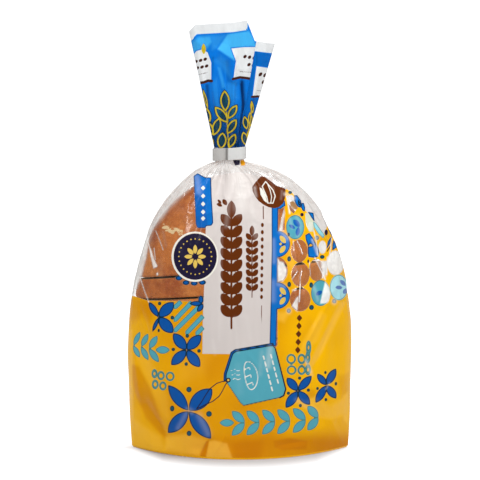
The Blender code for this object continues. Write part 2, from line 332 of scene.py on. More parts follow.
def leafOutline(u, v, x0, y0, x1, y1, halfWidth, lineHalfWidth):
    # the stretch within a line's half width of a leaf's edge
    return lineHalfWidth - np.abs(leaf(u, v, x0, y0, x1, y1, halfWidth))


def stroke(u, v, points, halfWidth):
    # half a width less the distance to the nearest part of a line through the points
    best = np.full_like(u, 1e3)
    for (x0, y0), (x1, y1) in zip(points[:-1], points[1:]):
        run = (x1 - x0) ** 2 + (y1 - y0) ** 2
        t = np.clip(((u - x0) * (x1 - x0) + (v - y0) * (y1 - y0)) / max(run, 1e-9), 0, 1)
        best = np.minimum(best, np.hypot(u - x0 - t * (x1 - x0), v - y0 - t * (y1 - y0)))
    return halfWidth - best


def polygon(u, v, points):
    # distance to the outline, signed by how often a ray crosses it
    edge = -stroke(u, v, [*points, points[0]], 0.0)
    inside = np.zeros(u.shape, bool)
    for (x0, y0), (x1, y1) in zip(points, [*points[1:], points[0]]):
        if y0 != y1:
            crosses = (y0 > v) != (y1 > v)
            inside ^= crosses & (u < (x1 - x0) * (v - y0) / (y1 - y0) + x0)
    return np.where(inside, edge, -edge)


def slab(u, v, x0, y0, x1, y1, radius):
    # a box with round corners: the distance to a smaller box, less the radius
    du = np.abs(u - (x0 + x1) / 2) - abs(x1 - x0) / 2 + radius
    dv = np.abs(v - (y0 + y1) / 2) - abs(y1 - y0) / 2 + radius
    outside = np.hypot(np.maximum(du, 0), np.maximum(dv, 0))
    return radius - outside - np.minimum(np.maximum(du, dv), 0)


def softArea(u, v, points, soft):
    # 1 inside an outline and 0 outside it, eased across its edge
    return ease(-soft, soft, polygon(u, v, points))


def softLine(u, v, points, reach):
    # 1 on a line, falling off in a bell over its reach
    return np.exp(-((stroke(u, v, points, 0.0) / reach) ** 2))


# inks from the lowest layer up: softness of the edge, width of the dark rim inside it, and growth
inks = {
    "panel": (0.3, 0.0, 0.0),
    "yellow": (0.3, 0.0, 0.0),
    "mint": (0.5, 0.0, 0.0),
    "tan": (0.5, 0.0, 0.0),
    "teal": (0.25, 0.6, 0.15),
    "aqua": (0.25, 0.6, 0.15),
    "azure": (0.25, 0.9, 0.3),
    "blue": (0.25, 0.9, 0.3),
    "petal": (0.3, 0.0, 0.0),
    "deep": (0.25, 0.8, 0.15),
    "brown": (0.22, 0.0, 0.0),
    "navy": (0.22, 0.0, 0.0),
    "cream": (0.25, 0.0, 0.0),
    "tint": (0.22, 0.0, 0.0),
    "glint": (0.7, 0.0, 0.0),
}
farOutside = -30.0


class Print:
    # one field for each ink: the best distance inside any of its shapes
    def __init__(self, u, v):
        self.u, self.v = u, v
        self.fields = {ink: np.full(u.shape, farOutside) for ink in inks}

    def put(self, ink, corners, margin, shape, *values, cut=False):
        # on points in a shape's box: the larger distance, or to cut, the smaller with the shape's reversed
        xs, ys = zip(*corners)
        at = (self.u > min(xs) - margin) & (self.u < max(xs) + margin)
        at &= (self.v > min(ys) - margin) & (self.v < max(ys) + margin)
        inside, field = shape(self.u[at], self.v[at], *values), self.fields[ink]
        field[at] = np.minimum(field[at], -inside) if cut else np.maximum(field[at], inside)

    def disc(self, ink, cx, cy, rx, ry=None, cut=False):
        # a disc, or an oval where a second radius is given
        ry = ry or rx
        self.put(ink, [(cx - rx, cy - ry), (cx + rx, cy + ry)], 4, disc, cx, cy, rx, ry, cut=cut)

    def leaf(self, ink, x0, y0, x1, y1, halfWidth):
        # a leaf between two tips
        self.put(ink, [(x0, y0), (x1, y1)], halfWidth + 4, leaf, x0, y0, x1, y1, halfWidth)

    def line(self, ink, points, halfWidth):
        # a line through points
        self.put(ink, points, halfWidth + 4, stroke, points, halfWidth)

    def patch(self, ink, points, cut=False):
        # a field inside corners
        self.put(ink, points, 6, polygon, points, cut=cut)

    def slab(self, ink, x0, y0, x1, y1, radius, cut=False):
        # a box with round corners
        self.put(ink, [(x0, y0), (x1, y1)], 6, slab, x0, y0, x1, y1, radius, cut=cut)

    def flower(self, cx, cy, tips, widths, dots):
        # four leaves from the middle to the tips, with a dot between each two
        for (x, y), width in zip(tips, widths):
            self.leaf("blue", mix(cx, x, 0.03), mix(cy, y, 0.03), x, y, width)
        for x, y, rx, ry in dots:
            self.disc("deep", x, y, rx + 0.15, ry + 0.15)


# The front print, in view units. The yellow field is low on the left and climbs on the right.
yellowField = [
    (100, 296), (134, 296), (148, 300.6), (203, 301.6), (203, 330), (277, 330), (277, 196), (286.5, 189),
    (293, 193.5), (300, 203), (306, 211), (311.5, 218), (317, 227), (323, 235.5), (327.5, 225.5), (333, 236),
    (338, 250), (380, 250), (380, 500), (100, 500),
]
# left clear in it: discs, as middle and radii, and patches, the last one for the panel
clearDiscs = [
    (299.2, 250.8, 8.3, 11.2), (300.4, 274.6, 9.0, 12.3), (300.2, 299.4, 10.2, 11.9), (316.4, 270, 7.4, 11),
    (322.4, 247.2, 3.9, 6.3), (335.6, 262.9, 8.6, 12), (277, 269.8, 10.6, 12.9),
]
clearPatches = [
    [(277, 206), (281.4, 209), (284.4, 207), (284.6, 222), (285, 230), (277, 231)],
    [(286, 196), (292, 195), (296.6, 202), (297, 208), (293.6, 213.6), (290, 210)],
    [(305.4, 214.4), (309, 214), (313, 222), (314, 231), (309, 231), (306, 224)],
    [(317, 262), (327, 261), (327.4, 272), (322, 279)],
    [(206, 150), (277.4, 150), (277.4, 345), (270.4, 354.4), (202.4, 353.8), (202.8, 320), (204.2, 290)],
]
azureNotch = [(307.6, 247), (310.2, 243.4), (313.6, 245.2), (312, 246.4)]
tagCorners = [
    (232.6, 352.2), (236, 350.6), (272, 344.6), (275, 348), (285.6, 389), (283.6, 395.4), (280, 397.4),
    (243.6, 405.4), (240.4, 402.6), (225.4, 380.4), (225, 376),
]
frontPatches = [
    # the panel, the stripe along it, and the tab with a darker patch of painted shade on its left
    ("panel", [(211.3, 176), (238, 172), (272.6, 178), (272.6, 250), (271.4, 340), (270.6, 354.6),
               (202.2, 354), (202.6, 320), (204, 290), (205.8, 226), (211.3, 225.6)]),
    ("azure", [(271.9, 205), (278, 205), (277.6, 250), (277.2, 300), (276, 346), (269.8, 346), (271, 300),
               (272, 250)]),
    ("azure", [(193.8, 176), (197.6, 173.4), (205.2, 177.6), (210.8, 177.6), (211.4, 196), (213, 222.6),
               (211.4, 225.4), (206.2, 225.8), (205.2, 227.8), (197.4, 227.8), (196, 224), (195.2, 205)]),
    ("petal", [(194.8, 193), (199, 195), (205.4, 206), (207.6, 224.4), (205.8, 225.2), (204.8, 227),
               (197.8, 227), (196.5, 223.6), (195.7, 205)]),
    # pieces of colour up the right side
    ("azure", [(305.5, 235.3), (309.2, 233.0), (313, 238.4), (318.3, 248.6), (319, 253.4), (317.8, 256.6),
               (314.4, 257.6), (308.6, 256.8), (308, 253), (308, 245.4), (306, 239.6)]),
    ("yellow", azureNotch),
    ("azure", [(294.3, 195.4), (296.8, 195.4), (300.8, 200.5), (301.4, 205.4), (300.3, 207.4), (298.2, 206.8),
               (296.1, 204), (294.6, 200.5)]),
    ("azure", [(301.7, 203.2), (303.8, 203.2), (305, 208.2), (304.6, 211.3), (302.7, 210.4), (301.3, 207.5)]),
    ("azure", [(308, 212), (313.3, 213.1), (314.4, 221.2), (312.9, 219.5), (309.4, 213.9)]),
    ("azure", [(328, 225), (331.2, 230), (333.4, 234.2), (333.8, 237.6), (331.1, 234.4), (328.7, 229.5)]),
    ("azure", [(331.8, 236.3), (330.2, 243.3), (326.9, 248.4), (328.1, 241.2)]),
    ("azure", [(333.6, 240.3), (337.3, 246.8), (332.3, 250.2), (332.9, 244)]),
    ("azure", [(277, 204), (284.6, 200.6), (285.2, 205.4), (281, 208.6), (277, 208.8)]),
    ("brown", [(332.6, 243), (330.4, 247.6), (327.2, 252), (326.4, 251.4), (329.4, 246.6)]),
    ("blue", [(298.2, 200), (300.4, 203), (300.2, 206), (298, 204)]),
    # a teal piece in glare, painted light
    ("aqua", [(313.2, 221.6), (315.6, 223.0), (324.6, 235.2), (323.2, 238.2), (318.4, 233.6), (314, 227)]),
    ("tan", [(289.6, 201.4), (293.6, 201), (297.8, 205.6), (297.4, 209.4), (293, 209.6), (290.4, 207)]),
    ("mint", [(305.4, 213), (308.4, 213.4), (313.8, 221.8), (313.8, 231.4), (309.4, 231.6), (306.2, 223.6)]),
    # the hang tag, the badge with a cut loaf on it, and a thin wedge in the panel
    ("teal", tagCorners),
    ("brown", [(260, 177), (262, 175.9), (264.6, 176.8), (270.6, 181), (277, 185.8), (283.6, 187.8),
               (285.6, 189), (285.2, 197), (283, 203.6), (279, 207.2), (274.2, 208.3), (268.6, 207.2),
               (263.4, 204.6), (258.6, 201), (255.2, 196.6), (252.6, 191), (252.2, 187), (254, 184)]),
    ("cream", [(259.6, 187.4), (262, 188.6), (265.4, 195), (267, 203), (264, 200.6), (260.6, 194.6)]),
    ("brown", [(261.2, 305), (262.2, 305), (261.2, 337)]),
    # print caught under the band
    ("navy", [(233, 160), (240, 160), (239.6, 164.8), (235, 165.6)]),
    ("yellow", [(240, 160), (245.4, 160), (245, 165.4), (241, 165.8)]),
]
# middle and radii
frontDiscs = {
    "teal": [(295.2, 227.2, 8.9, 12.0), (320.6, 293, 9.4, 12.8)],
    # a teal disc in glare, painted light
    "aqua": [(338.8, 287.4, 8.8, 12.6)],
    "deep": [(289.2, 258.9, 1.8, 2.5), (289.2, 284.4, 1.8, 2.5), (322.2, 256.9, 2.3, 1.8),
             (311.2, 285.1, 1.8, 2.6), (311.5, 307.4, 2.3, 2.4), (288.8, 310.8, 1.9, 2.1),
             (334.3, 301.1, 2.0, 2.1), (316.8, 237.8, 2.1, 2.1), (290.1, 192.5, 1.8, 1.4)],
    "navy": [(308.2, 261.2, 0.9, 1.9), (302, 214.6, 1.8, 1.8), (288.6, 234.6, 1.2, 2.0),
             (326.2, 232.4, 1.7, 3.0), (228.3, 380.1, 2.4, 2.4)],
    "tint": [(228.3, 380.1, 1.2, 1.2)],
    "blue": [(179, 278, 3.2, 2.2), (186, 282.6, 3.2, 2.2), (194.2, 283.2, 3.2, 2.2),
             (202.4, 282.4, 3.2, 2.2)],
}
# both tips and half width
frontLeaves = {
    "petal": [(293.4, 219.6, 299.6, 226.8, 2.7), (288.8, 224.8, 295.2, 228.6, 1.7),
              (298.6, 227.2, 297, 236, 2.2), (315.8, 295, 322.4, 291, 2.1), (335.2, 287.2, 342.6, 287.8, 1.9),
              (340, 280, 345.8, 285.8, 2.0), (343.4, 293.8, 347, 288.4, 2.1)],
    "blue": [(189.6, 303.4, 202.4, 303.6, 2.3), (200.4, 295.6, 201.4, 303.4, 2.4),
             (203, 304.2, 197.6, 311.6, 2.5)],
    "teal": [(155.6, 349.9, 169.8, 349.9, 3.7), (219.8, 422.8, 234, 422.8, 3.7)],
    "brown": [(216.4, 203.6, 222.4, 206.2, 1.6), (217.6, 199.4, 221.4, 203.8, 1.3),
              (222.8, 199.2, 226.8, 205.2, 2.2)],
}
# half width and points
frontLines = {
    "blue": [(1.25, [(225, 380), (225.2, 374), (232, 353), (235.6, 350.6), (272.4, 344.4)])],
    "navy": [
        (0.7, [(272.4, 344.6), (275.4, 348.4), (285.8, 389.2), (283.8, 395.6), (280, 397.6)]),
        (0.35, [(280, 397.6), (243.4, 405.8), (240, 402.8), (225.6, 381)]),
        (0.5, [(226.4, 381), (222, 381.6), (216.8, 383.3), (210, 388.6), (205.4, 395.4), (201.5, 402),
               (196.6, 408.8)]),
        (0.5, [(226, 383.6), (222.6, 390.6), (219.1, 396.3), (213, 401.2), (206.1, 404.3), (200, 407.6),
               (196.6, 408.8)]),
    ],
    "cream": [
        (0.5, [(262.2, 186.4), (265.6, 181.6), (269.6, 186), (273, 190), (275.2, 196), (273, 203.2),
               (268, 203.2), (266.6, 196.4), (262.2, 186.4)]),
        (0.4, [(267.8, 184.6), (270.4, 191), (271.6, 197), (270.8, 203)]),
    ],
    "brown": [(0.5, [(263.2, 206.4), (263.4, 219)])],
    # where a tight crease catches the light
    "glint": [
        (0.45, [(146.6, 238), (148.6, 244), (153.2, 262)]), (0.4, [(155.8, 231), (160, 241), (163.2, 250)]),
        (0.4, [(154, 248), (155.4, 260)]), (0.4, [(297.1, 240.5), (300, 247), (302.9, 254)]),
        (0.42, [(301.8, 270.8), (300.2, 277), (300.2, 287)]), (0.4, [(298, 270.8), (292.1, 279)]),
        (0.5, [(314.8, 257.6), (320, 268.6), (325.3, 279.4)]), (0.35, [(327.3, 257), (326.6, 275)]),
        (0.45, [(140.2, 278), (144.2, 289.6), (148.9, 302.4)]), (0.3, [(293.2, 240.8), (294.2, 250)]),
        (0.3, [(309.4, 262), (310.6, 276)]), (0.4, [(287, 199), (289.8, 213)]),
        (0.4, [(331.6, 238), (329.8, 254)]), (0.35, [(314, 231), (316, 240), (318, 256)]),
        (0.6, [(300.2, 287), (299.2, 302)]),
    ],
}
# middle, then the petals' tips and half widths, then dots as middle and radii
flowers = [
    (158.7, 317.3, [(148.9, 302), (173.6, 302.4), (172.9, 332.6), (152.6, 331.4)], [3.0, 5.4, 5.6, 1.8],
     [(159.6, 303.5, 1.5, 1.6), (172.3, 317.6, 1.6, 1.7), (158.7, 330.5, 0.9, 1.5)]),
    (186.6, 350, [(173.4, 333.6), (200.9, 335.4), (171.4, 364.8), (199.8, 366.8)], [5.2, 5.2, 5.0, 5.2],
     [(187.3, 335.9, 1.6, 1.7), (173.3, 349.4, 1.6, 1.5), (199, 350.9, 1.6, 1.6), (186.2, 364, 1.5, 1.6)]),
    (188.6, 411, [(168.4, 385.3), (212, 389), (168.2, 432.7), (210.8, 438.5)], [5.8, 8.0, 6.6, 7.0],
     [(189, 389.5, 2.4, 2.5), (172.2, 408.5, 1.9, 2.6), (209, 413.9, 2.6, 2.6), (189.1, 433.4, 2.1, 2.4)]),
    (298, 390.8, [(287, 378), (311.4, 376), (286, 407.6), (309.8, 404.6)], [4.2, 4.0, 4.4, 4.2],
     [(299.6, 378.1, 1.4, 1.4), (288.4, 393.2, 1.4, 1.4), (308.4, 390.1, 1.4, 1.4),
      (300.4, 405.6, 1.3, 1.5)]),
    (326.4, 385.2, [(317.4, 374), (335.8, 368.8), (315.8, 402.6), (336, 398.2)], [3.2, 3.9, 3.8, 3.8],
     [(325.4, 372.5, 1.0, 1.3), (317.5, 388.5, 1.1, 1.3), (335.9, 383.7, 1.0, 1.5),
      (325.9, 399.6, 1.1, 1.4)]),
]
# slanting stripes, as both ends; the left sprig, as upper tip, node, lower tip and half width; rings
stripes = [(173.6, 308.4, 181, 301.6), (173.6, 321.2, 191.8, 302.2), (173.6, 331.8, 201.6, 304.2),
           (185.4, 334, 203, 316), (195.4, 335, 203, 327.2)]
leftSprig = [(140, 331.8, 133.8, 345.4, 139.8, 357.6, 2.5), (148, 333.8, 141.6, 346.4, 148.2, 360, 2.8),
             (157.2, 336, 149.4, 348.4, 158.8, 362.2, 3.2)]
lowSprig = [(244.6, 422.8), (259.3, 422.4), (274.9, 421.6), (290, 421.2), (305.6, 420), (318.2, 417.6)]
rings = [
    (154.5, 373.7, 2.0, 3.2), (161, 375.6, 2.8, 3.5), (170.1, 376.4, 3.5, 3.8), (155.2, 384.4, 2.4, 3.5),
    (162.9, 385.9, 2.8, 3.4), (291.2, 359, 3.9, 4.2), (301.6, 359, 3.2, 4.1), (307.8, 357.4, 1.6, 3.8),
    (291.6, 370.1, 4.0, 3.9), (301.6, 370.1, 3.2, 3.8), (308, 369.7, 1.9, 3.8), (308.6, 347.6, 1.7, 4.6),
]
ornament = {
    "edgeDiscs": {"heights": (244, 295.6), "middle": 276.6, "radii": (13.2, 13.3), "edge": 272},
    "tabDiamonds": {"x": 203.1, "heights": (188, 196, 204, 212, 218.4), "reach": (2.3, 2.5)},
    "lowDiamonds": {"x": 299.4, "heights": (318, 326, 334, 342, 350), "reach": (3.0, 3.6), "lean": 0.05},
    "tagLoaf": {"middle": (249.6, 375.6), "half": (6.4, 14.2), "tilt": -9, "egg": 0.25},
    "tagDashes": {"columns": [(264.4, 356, 392), (272.2, 354.6, 384)], "step": 6.2, "lean": 0.26},
    "panelDots": {"x": 262.4, "top": 225, "bottom": 300, "step": 7.2, "lean": 0.012},
    "roundel": {"middle": (195.2, 256.6), "radii": (21.6, 23.2), "petals": 8, "dots": 24},
    "roundelRim": {"middle": (195, 256.7), "radii": (23.5, 25.1), "clearance": 0.2},
}


def drawDiamond(sheet, ink, x, y, halfWidth, halfHeight):
    # four corners, one to each side of the middle
    sheet.patch(ink, [(x, y - halfHeight), (x + halfWidth, y), (x, y + halfHeight), (x - halfWidth, y)])


def drawEdgeDiscs(sheet):
    # half discs on the stripe, each with two leaves, a bud and a tie
    look = ornament["edgeDiscs"]
    for y in look["heights"]:
        values = (look["middle"], y, *look["radii"], look["edge"])
        sheet.put("azure", [(272, y - 16), (292, y + 16)], 2, halfDisc, *values)
        sheet.leaf("tint", 280, y - 8.4, 285.6, y - 0.8, 2.4)
        sheet.leaf("tint", 280, y + 9, 285.2, y + 1.6, 2.4)
        sheet.line("navy", [(279.4, y - 1.4), (282.4, y + 1.2), (285.4, y - 0.4)], 0.6)
        sheet.disc("tint", 280.6, y, 1.3)


def drawSprigs(sheet):
    # stripes with slanted ends, and pairs of leaves that open from the nodes of each sprig
    for x0, y0, x1, y1 in stripes:
        sheet.patch("teal", [(x0, y0 - 2.9), (x1 - 1.6, y1 - 1.6), (x1 + 1.6, y1 + 1.6), (x0 + 3.0, y0 + 0.4),
                             (x0 + 0.2, y0 + 0.6)])
    for highX, highY, x, y, lowX, lowY, halfWidth in leftSprig:
        sheet.leaf("teal", x, y, highX, highY, halfWidth)
        sheet.leaf("teal", x - 0.4, y + 0.2, lowX, lowY, halfWidth)
    for x, y in lowSprig:
        reach = 10.6 if (x, y) == lowSprig[-1] else 12.6
        sheet.leaf("teal", x, y, x - reach, y - 11.6, 4.1)
        sheet.leaf("teal", x, y, x - reach, y + 12.6, 4.1)
    for values in rings:
        sheet.put("teal", [values[:2]], 8, ring, *values, 0.8)


def drawTag(sheet):
    # an egg-shaped loaf turned by its tilt, with scoring and steam, and leaning columns of dashes
    look = ornament["tagLoaf"]
    tilt = math.radians(look["tilt"])
    around = np.linspace(0, 2 * math.pi, 33)
    wide = look["half"][0] * np.cos(around) * (1 + look["egg"] * np.cos(around))
    tall = look["half"][1] * np.sin(around)
    xs = look["middle"][0] + wide * math.cos(tilt) - tall * math.sin(tilt)
    ys = look["middle"][1] + wide * math.sin(tilt) + tall * math.cos(tilt)
    sheet.line("cream", list(zip(xs, ys)), 0.5)
    for dx, dy in [(-0.6, -7.5), (0.6, 0), (2.4, 7.5)]:
        sheet.line("cream", [(245 + dx, 377 + dy), (250 + dx, 374.8 + dy), (250.6 + dx, 377.4 + dy)], 0.5)
    for dy in (-4.4, 0, 4.4):
        steam = [(232 + dy * 0.2, 375 + dy), (235, 373.8 + dy), (237.6, 375.4 + dy), (240.6, 374.4 + dy)]
        sheet.line("cream", steam, 0.4)
    look = ornament["tagDashes"]
    for left, top, bottom in look["columns"]:
        for y in np.arange(top, bottom, look["step"]):
            x = left + (y - 350) * look["lean"] - 2.6
            sheet.line("cream", [(x, y), (x + 1, y + 3.6)], 0.75)


def drawEar(sheet, x, top, bottom, length, halfWidth):
    # a stem with a grain at its tip and pairs of grains down it, each turned up and out
    sheet.line("brown", [(x, top + 4), (x, bottom + length)], halfWidth * 0.22)
    sheet.leaf("brown", x, top - length * 0.7, x, top + length * 0.4, halfWidth)
    for y in np.linspace(top + length * 0.55, bottom, int((bottom - top) / (length * 0.66))):
        for side in (-1, 1):
            sheet.leaf("brown", x + side * 0.9, y + length * 0.3,
                       x + side * (halfWidth * 2.3), y - length * 0.42, halfWidth)


def drawRoundel(sheet):
    # a dark disc in a rim that hides the print under it, petals and dots spaced evenly round its middle
    rim, look = ornament["roundelRim"], ornament["roundel"]
    rimX, rimY = rim["radii"]
    sheet.disc("cream", *rim["middle"], rimX, rimY)
    for ink in ("azure", "blue", "brown", "panel"):
        sheet.disc(ink, *rim["middle"], rimX - rim["clearance"], rimY - rim["clearance"], cut=True)
    sheet.disc("navy", *look["middle"], *look["radii"])
    sheet.disc("cream", *look["middle"], *look["radii"], cut=True)
    cx, cy = look["middle"]
    for turn in np.arange(look["petals"]) * 2 * math.pi / look["petals"]:
        c, s = math.cos(turn), math.sin(turn)
        sheet.leaf("tint", cx + 2.6 * c, cy + 2.8 * s, cx + 11 * c, cy + 12 * s, 2.0)
    for turn in np.arange(look["dots"]) * 2 * math.pi / look["dots"]:
        sheet.disc("tint", cx + 16.4 * math.cos(turn), cy + 17.7 * math.sin(turn), 0.85)


def frontPrint(u, v):
    # the yellow field with its openings first, then every other shape, and the roundel over them
    sheet = Print(u, v)
    sheet.fields["yellow"] = polygon(u, v, yellowField)
    for values in clearDiscs:
        sheet.disc("yellow", *values, cut=True)
    for corners in clearPatches:
        sheet.patch("yellow", corners, cut=True)
    for ink, corners in frontPatches:
        sheet.patch(ink, corners)
    sheet.patch("azure", azureNotch, cut=True)
    for draw, table in ((sheet.disc, frontDiscs), (sheet.leaf, frontLeaves)):
        for ink, shapes in table.items():
            for values in shapes:
                draw(ink, *values)
    for ink, shapes in frontLines.items():
        for halfWidth, points in shapes:
            sheet.line(ink, points, halfWidth)
    for values in flowers:
        sheet.flower(*values)
    drawEdgeDiscs(sheet)
    drawSprigs(sheet)
    drawTag(sheet)
    drawEar(sheet, 231.4, 212, 312, 16.5, 4.5)
    drawEar(sheet, 252, 232, 288, 9.5, 2.5)
    look = ornament["tabDiamonds"]
    for y in look["heights"]:
        drawDiamond(sheet, "cream", look["x"], y, *look["reach"])
    look = ornament["lowDiamonds"]
    for y in look["heights"]:
        drawDiamond(sheet, "brown", look["x"] - (y - look["heights"][0]) * look["lean"], y, *look["reach"])
    look = ornament["panelDots"]
    for y in np.arange(look["top"], look["bottom"], look["step"]):
        sheet.disc("brown", look["x"] - (y - look["top"]) * look["lean"], y, 1.5, 2.2)
    drawRoundel(sheet)
    return sheet.fields


# The back print, in mm of x and height, with the front's yellow line near the bag's sides
back = {
    "borderHeight": 84,
    "borderWave": 6,
    "sideStart": 46,
    "sideEnd": 57,
    "panel": (-19, 24, 19, 128, 2),
    "stripe": (-22, 24, -19, 122, 0.5),
    "heading": (-12, 119, 12, 123.4, 1.2),
    "flowers": [(-36, 66, 9), (-37, 38, 12), (36, 62, 11), (38, 34, 9), (-30, 14, 7)],  # middle and reach
    "sprigHeight": 13,
    "sprigPairs": 5,
    "yellowLine": [(100, 296), (134, 296), (148, 300.6), (240, 301), (300, 260), (333, 236), (338, 250),
                   (380, 250), (380, 500), (100, 500)],
}


def backPrint(u, v, x, z):
    # a waved border over yellow, a panel of plain lines, flowers at the corners of squares, and a sprig
    s, t = x * 1000, z * 1000
    sheet = Print(s, t)
    border = back["borderHeight"] + back["borderWave"] * np.sin(s / 26 + 1.4) - t
    atSide = ease(back["sideStart"], back["sideEnd"], np.abs(s))
    sheet.fields["yellow"] = mix(border, polygon(u, v, back["yellowLine"]), atSide)
    sheet.slab("yellow", *back["panel"], cut=True)
    sheet.slab("panel", *back["panel"])
    sheet.slab("blue", *back["stripe"])
    sheet.slab("brown", *back["heading"])
    for cx, cy, size in back["flowers"]:
        tips = [(cx + dx * size, cy + dy * size) for dx, dy in ((-1, 1), (1, 1), (1, -1), (-1, -1))]
        dots = [(cx + dx * size * 0.9, cy + dy * size * 0.9, size * 0.1, size * 0.1)
                for dx, dy in ((0, 1), (1, 0), (0, -1), (-1, 0))]
        sheet.flower(cx, cy, tips, [size * 0.34] * 4, dots)
    y = back["sprigHeight"]
    sheet.leaf("teal", -8, y, 0, y, 2.1)
    for x in 7 + 8 * np.arange(back["sprigPairs"]):
        for side in (-1, 1):
            sheet.leaf("teal", x, y, x - 6.4, y + side * 6.4, 2.2)
    for step, y in enumerate(range(34, 118, 7)):
        sheet.line("brown", [(-12, y), (12 - (step * 5) % 9, y)], 0.5)
    return sheet.fields


# How the film lies: facets of painted shade and of painted light, as corners in view units, softness and
# amount
paintedShadeFacets = [
    ([(129, 296), (146, 300), (158, 304), (150, 322), (142, 316), (134, 322), (129, 318)], 5.0, 0.4),
    ([(130.4, 364), (138.8, 366.4), (150.2, 387.8), (166.8, 436), (164.8, 438), (146.4, 418.5),
      (137.2, 398.6), (131.4, 379)], 2.2, 0.42),
    ([(209, 440.6), (206, 441.4), (200.2, 453.6), (201, 458), (205.6, 458)], 0.9, 0.4),
    ([(306, 388), (315.6, 390), (316, 396), (312, 400), (306, 398)], 2.5, 0.35),
    ([(338, 376), (349, 372), (349, 404), (341, 399)], 3.0, 0.3),
    ([(274, 441), (290, 438), (307, 441.4), (306, 449), (282, 450), (275, 447)], 1.8, 0.25),
    ([(231, 443), (262, 440), (262, 460), (234, 460)], 5.0, 0.12),
    ([(205, 356), (226, 356), (226, 380), (206, 384)], 6.0, 0.12),
    ([(300, 330), (310, 318), (318, 330), (306, 372), (296, 384), (294, 350)], 5.0, 0.22),
]
paintedLightFacets = [
    ([(133, 420), (160, 436), (166, 452), (134, 452)], 3.5, 0.26),
    ([(126, 330), (132.2, 330), (132.6, 400), (134.8, 452), (128, 452)], 1.2, 0.5),
    ([(131, 346), (165, 418), (170, 420), (168, 398), (146, 352), (137, 340)], 3.5, 0.16),
    ([(166, 437), (186, 434), (207, 440), (199, 456), (164, 451)], 3.0, 0.34),
    ([(209.2, 441.4), (213.8, 440.2), (227, 443.7), (232.6, 458.5), (205.6, 458.5)], 1.4, 0.42),
    ([(305, 401), (314.7, 396.6), (330.7, 406), (347, 397), (348.4, 413), (330.7, 419), (318.7, 417)],
     3.0, 0.4),
    ([(277, 312), (290, 312), (284, 322), (277, 320)], 3.0, 0.35),
    ([(340, 302), (346, 302), (322, 352), (311.4, 368), (308, 366), (318, 346)], 1.8, 0.5),
    ([(321, 312), (326, 316), (318, 340), (300, 356), (302, 344)], 3.0, 0.22),
    ([(343, 396), (348, 392), (348, 424), (344, 420)], 1.8, 0.3),
    ([(176, 360), (210, 350), (204, 372), (180, 384)], 8.0, 0.1),
]
# soft white sheen on any ink: points of a line, reach, amount
softSheen = [
    ([(136, 252), (132.6, 276), (132, 288)], 2.2, 0.7), ([(147, 228), (139.6, 246), (135, 264)], 2.0, 0.5),
    ([(139.6, 262), (137.2, 278), (136.4, 288)], 1.7, 0.5), ([(141.6, 250), (139.8, 262)], 1.2, 0.5),
    ([(163, 232), (166, 246)], 1.6, 0.16), ([(176, 206), (186, 214), (190, 226)], 5.0, 0.07),
    ([(160, 262), (161, 276)], 3.0, 0.08), ([(197, 178), (199, 192)], 3.0, 0.14),
    ([(240, 176), (241, 206)], 7, 0.28), ([(232, 180), (226, 226)], 2.5, 0.12),
    ([(248, 178), (256, 236)], 3, 0.14), ([(222, 228), (219, 340)], 1.4, 0.06),
    ([(235, 318), (238, 352)], 1.8, 0.08), ([(213, 340), (215, 354)], 1.6, 0.08),
    ([(247, 316), (250, 340)], 2.2, 0.07), ([(273.6, 240), (274, 262)], 2.0, 0.12),
    ([(273, 282), (273, 300)], 3, 0.12), ([(281, 231), (288, 238)], 2.6, 0.22),
    ([(278, 284), (284, 286)], 2.4, 0.16), ([(270, 349), (268, 366)], 3.2, 0.26),
    ([(262, 352), (260, 374)], 2.6, 0.08), ([(238, 366), (240, 392)], 4, 0.03),
    ([(187, 412), (178, 428)], 2.6, 0.10),
    ([(199, 415), (208, 434)], 3.4, 0.12), ([(188, 409), (192, 412)], 2.6, 0.14),
    ([(312.4, 240), (317.4, 254)], 1.2, 0.4), ([(309.4, 371.6), (312, 375)], 1.4, 0.14),
    ([(329.6, 383), (326, 389)], 0.9, 0.22), ([(297, 400), (306, 406)], 2.6, 0.1),
    ([(290, 219), (292, 228)], 1.4, 0.14), ([(297, 217), (301, 226), (298, 236)], 2.2, 0.12),
    ([(314, 287), (318, 300)], 1.8, 0.18), ([(288.6, 200), (289.6, 213)], 1.0, 0.55),
    ([(334.3, 300.8), (334.3, 301.6)], 2.4, 0.5), ([(316.8, 237.4), (316.8, 238.2)], 2.2, 0.4),
    ([(288.8, 310.4), (288.8, 311.2)], 2.2, 0.45), ([(285, 194), (294, 198)], 2.0, 0.35),
    ([(310.5, 372), (306, 360)], 1.6, 0.35), ([(254.4, 188), (256, 196)], 1.6, 0.25),
    ([(282, 191), (281, 199)], 1.2, 0.1),
]
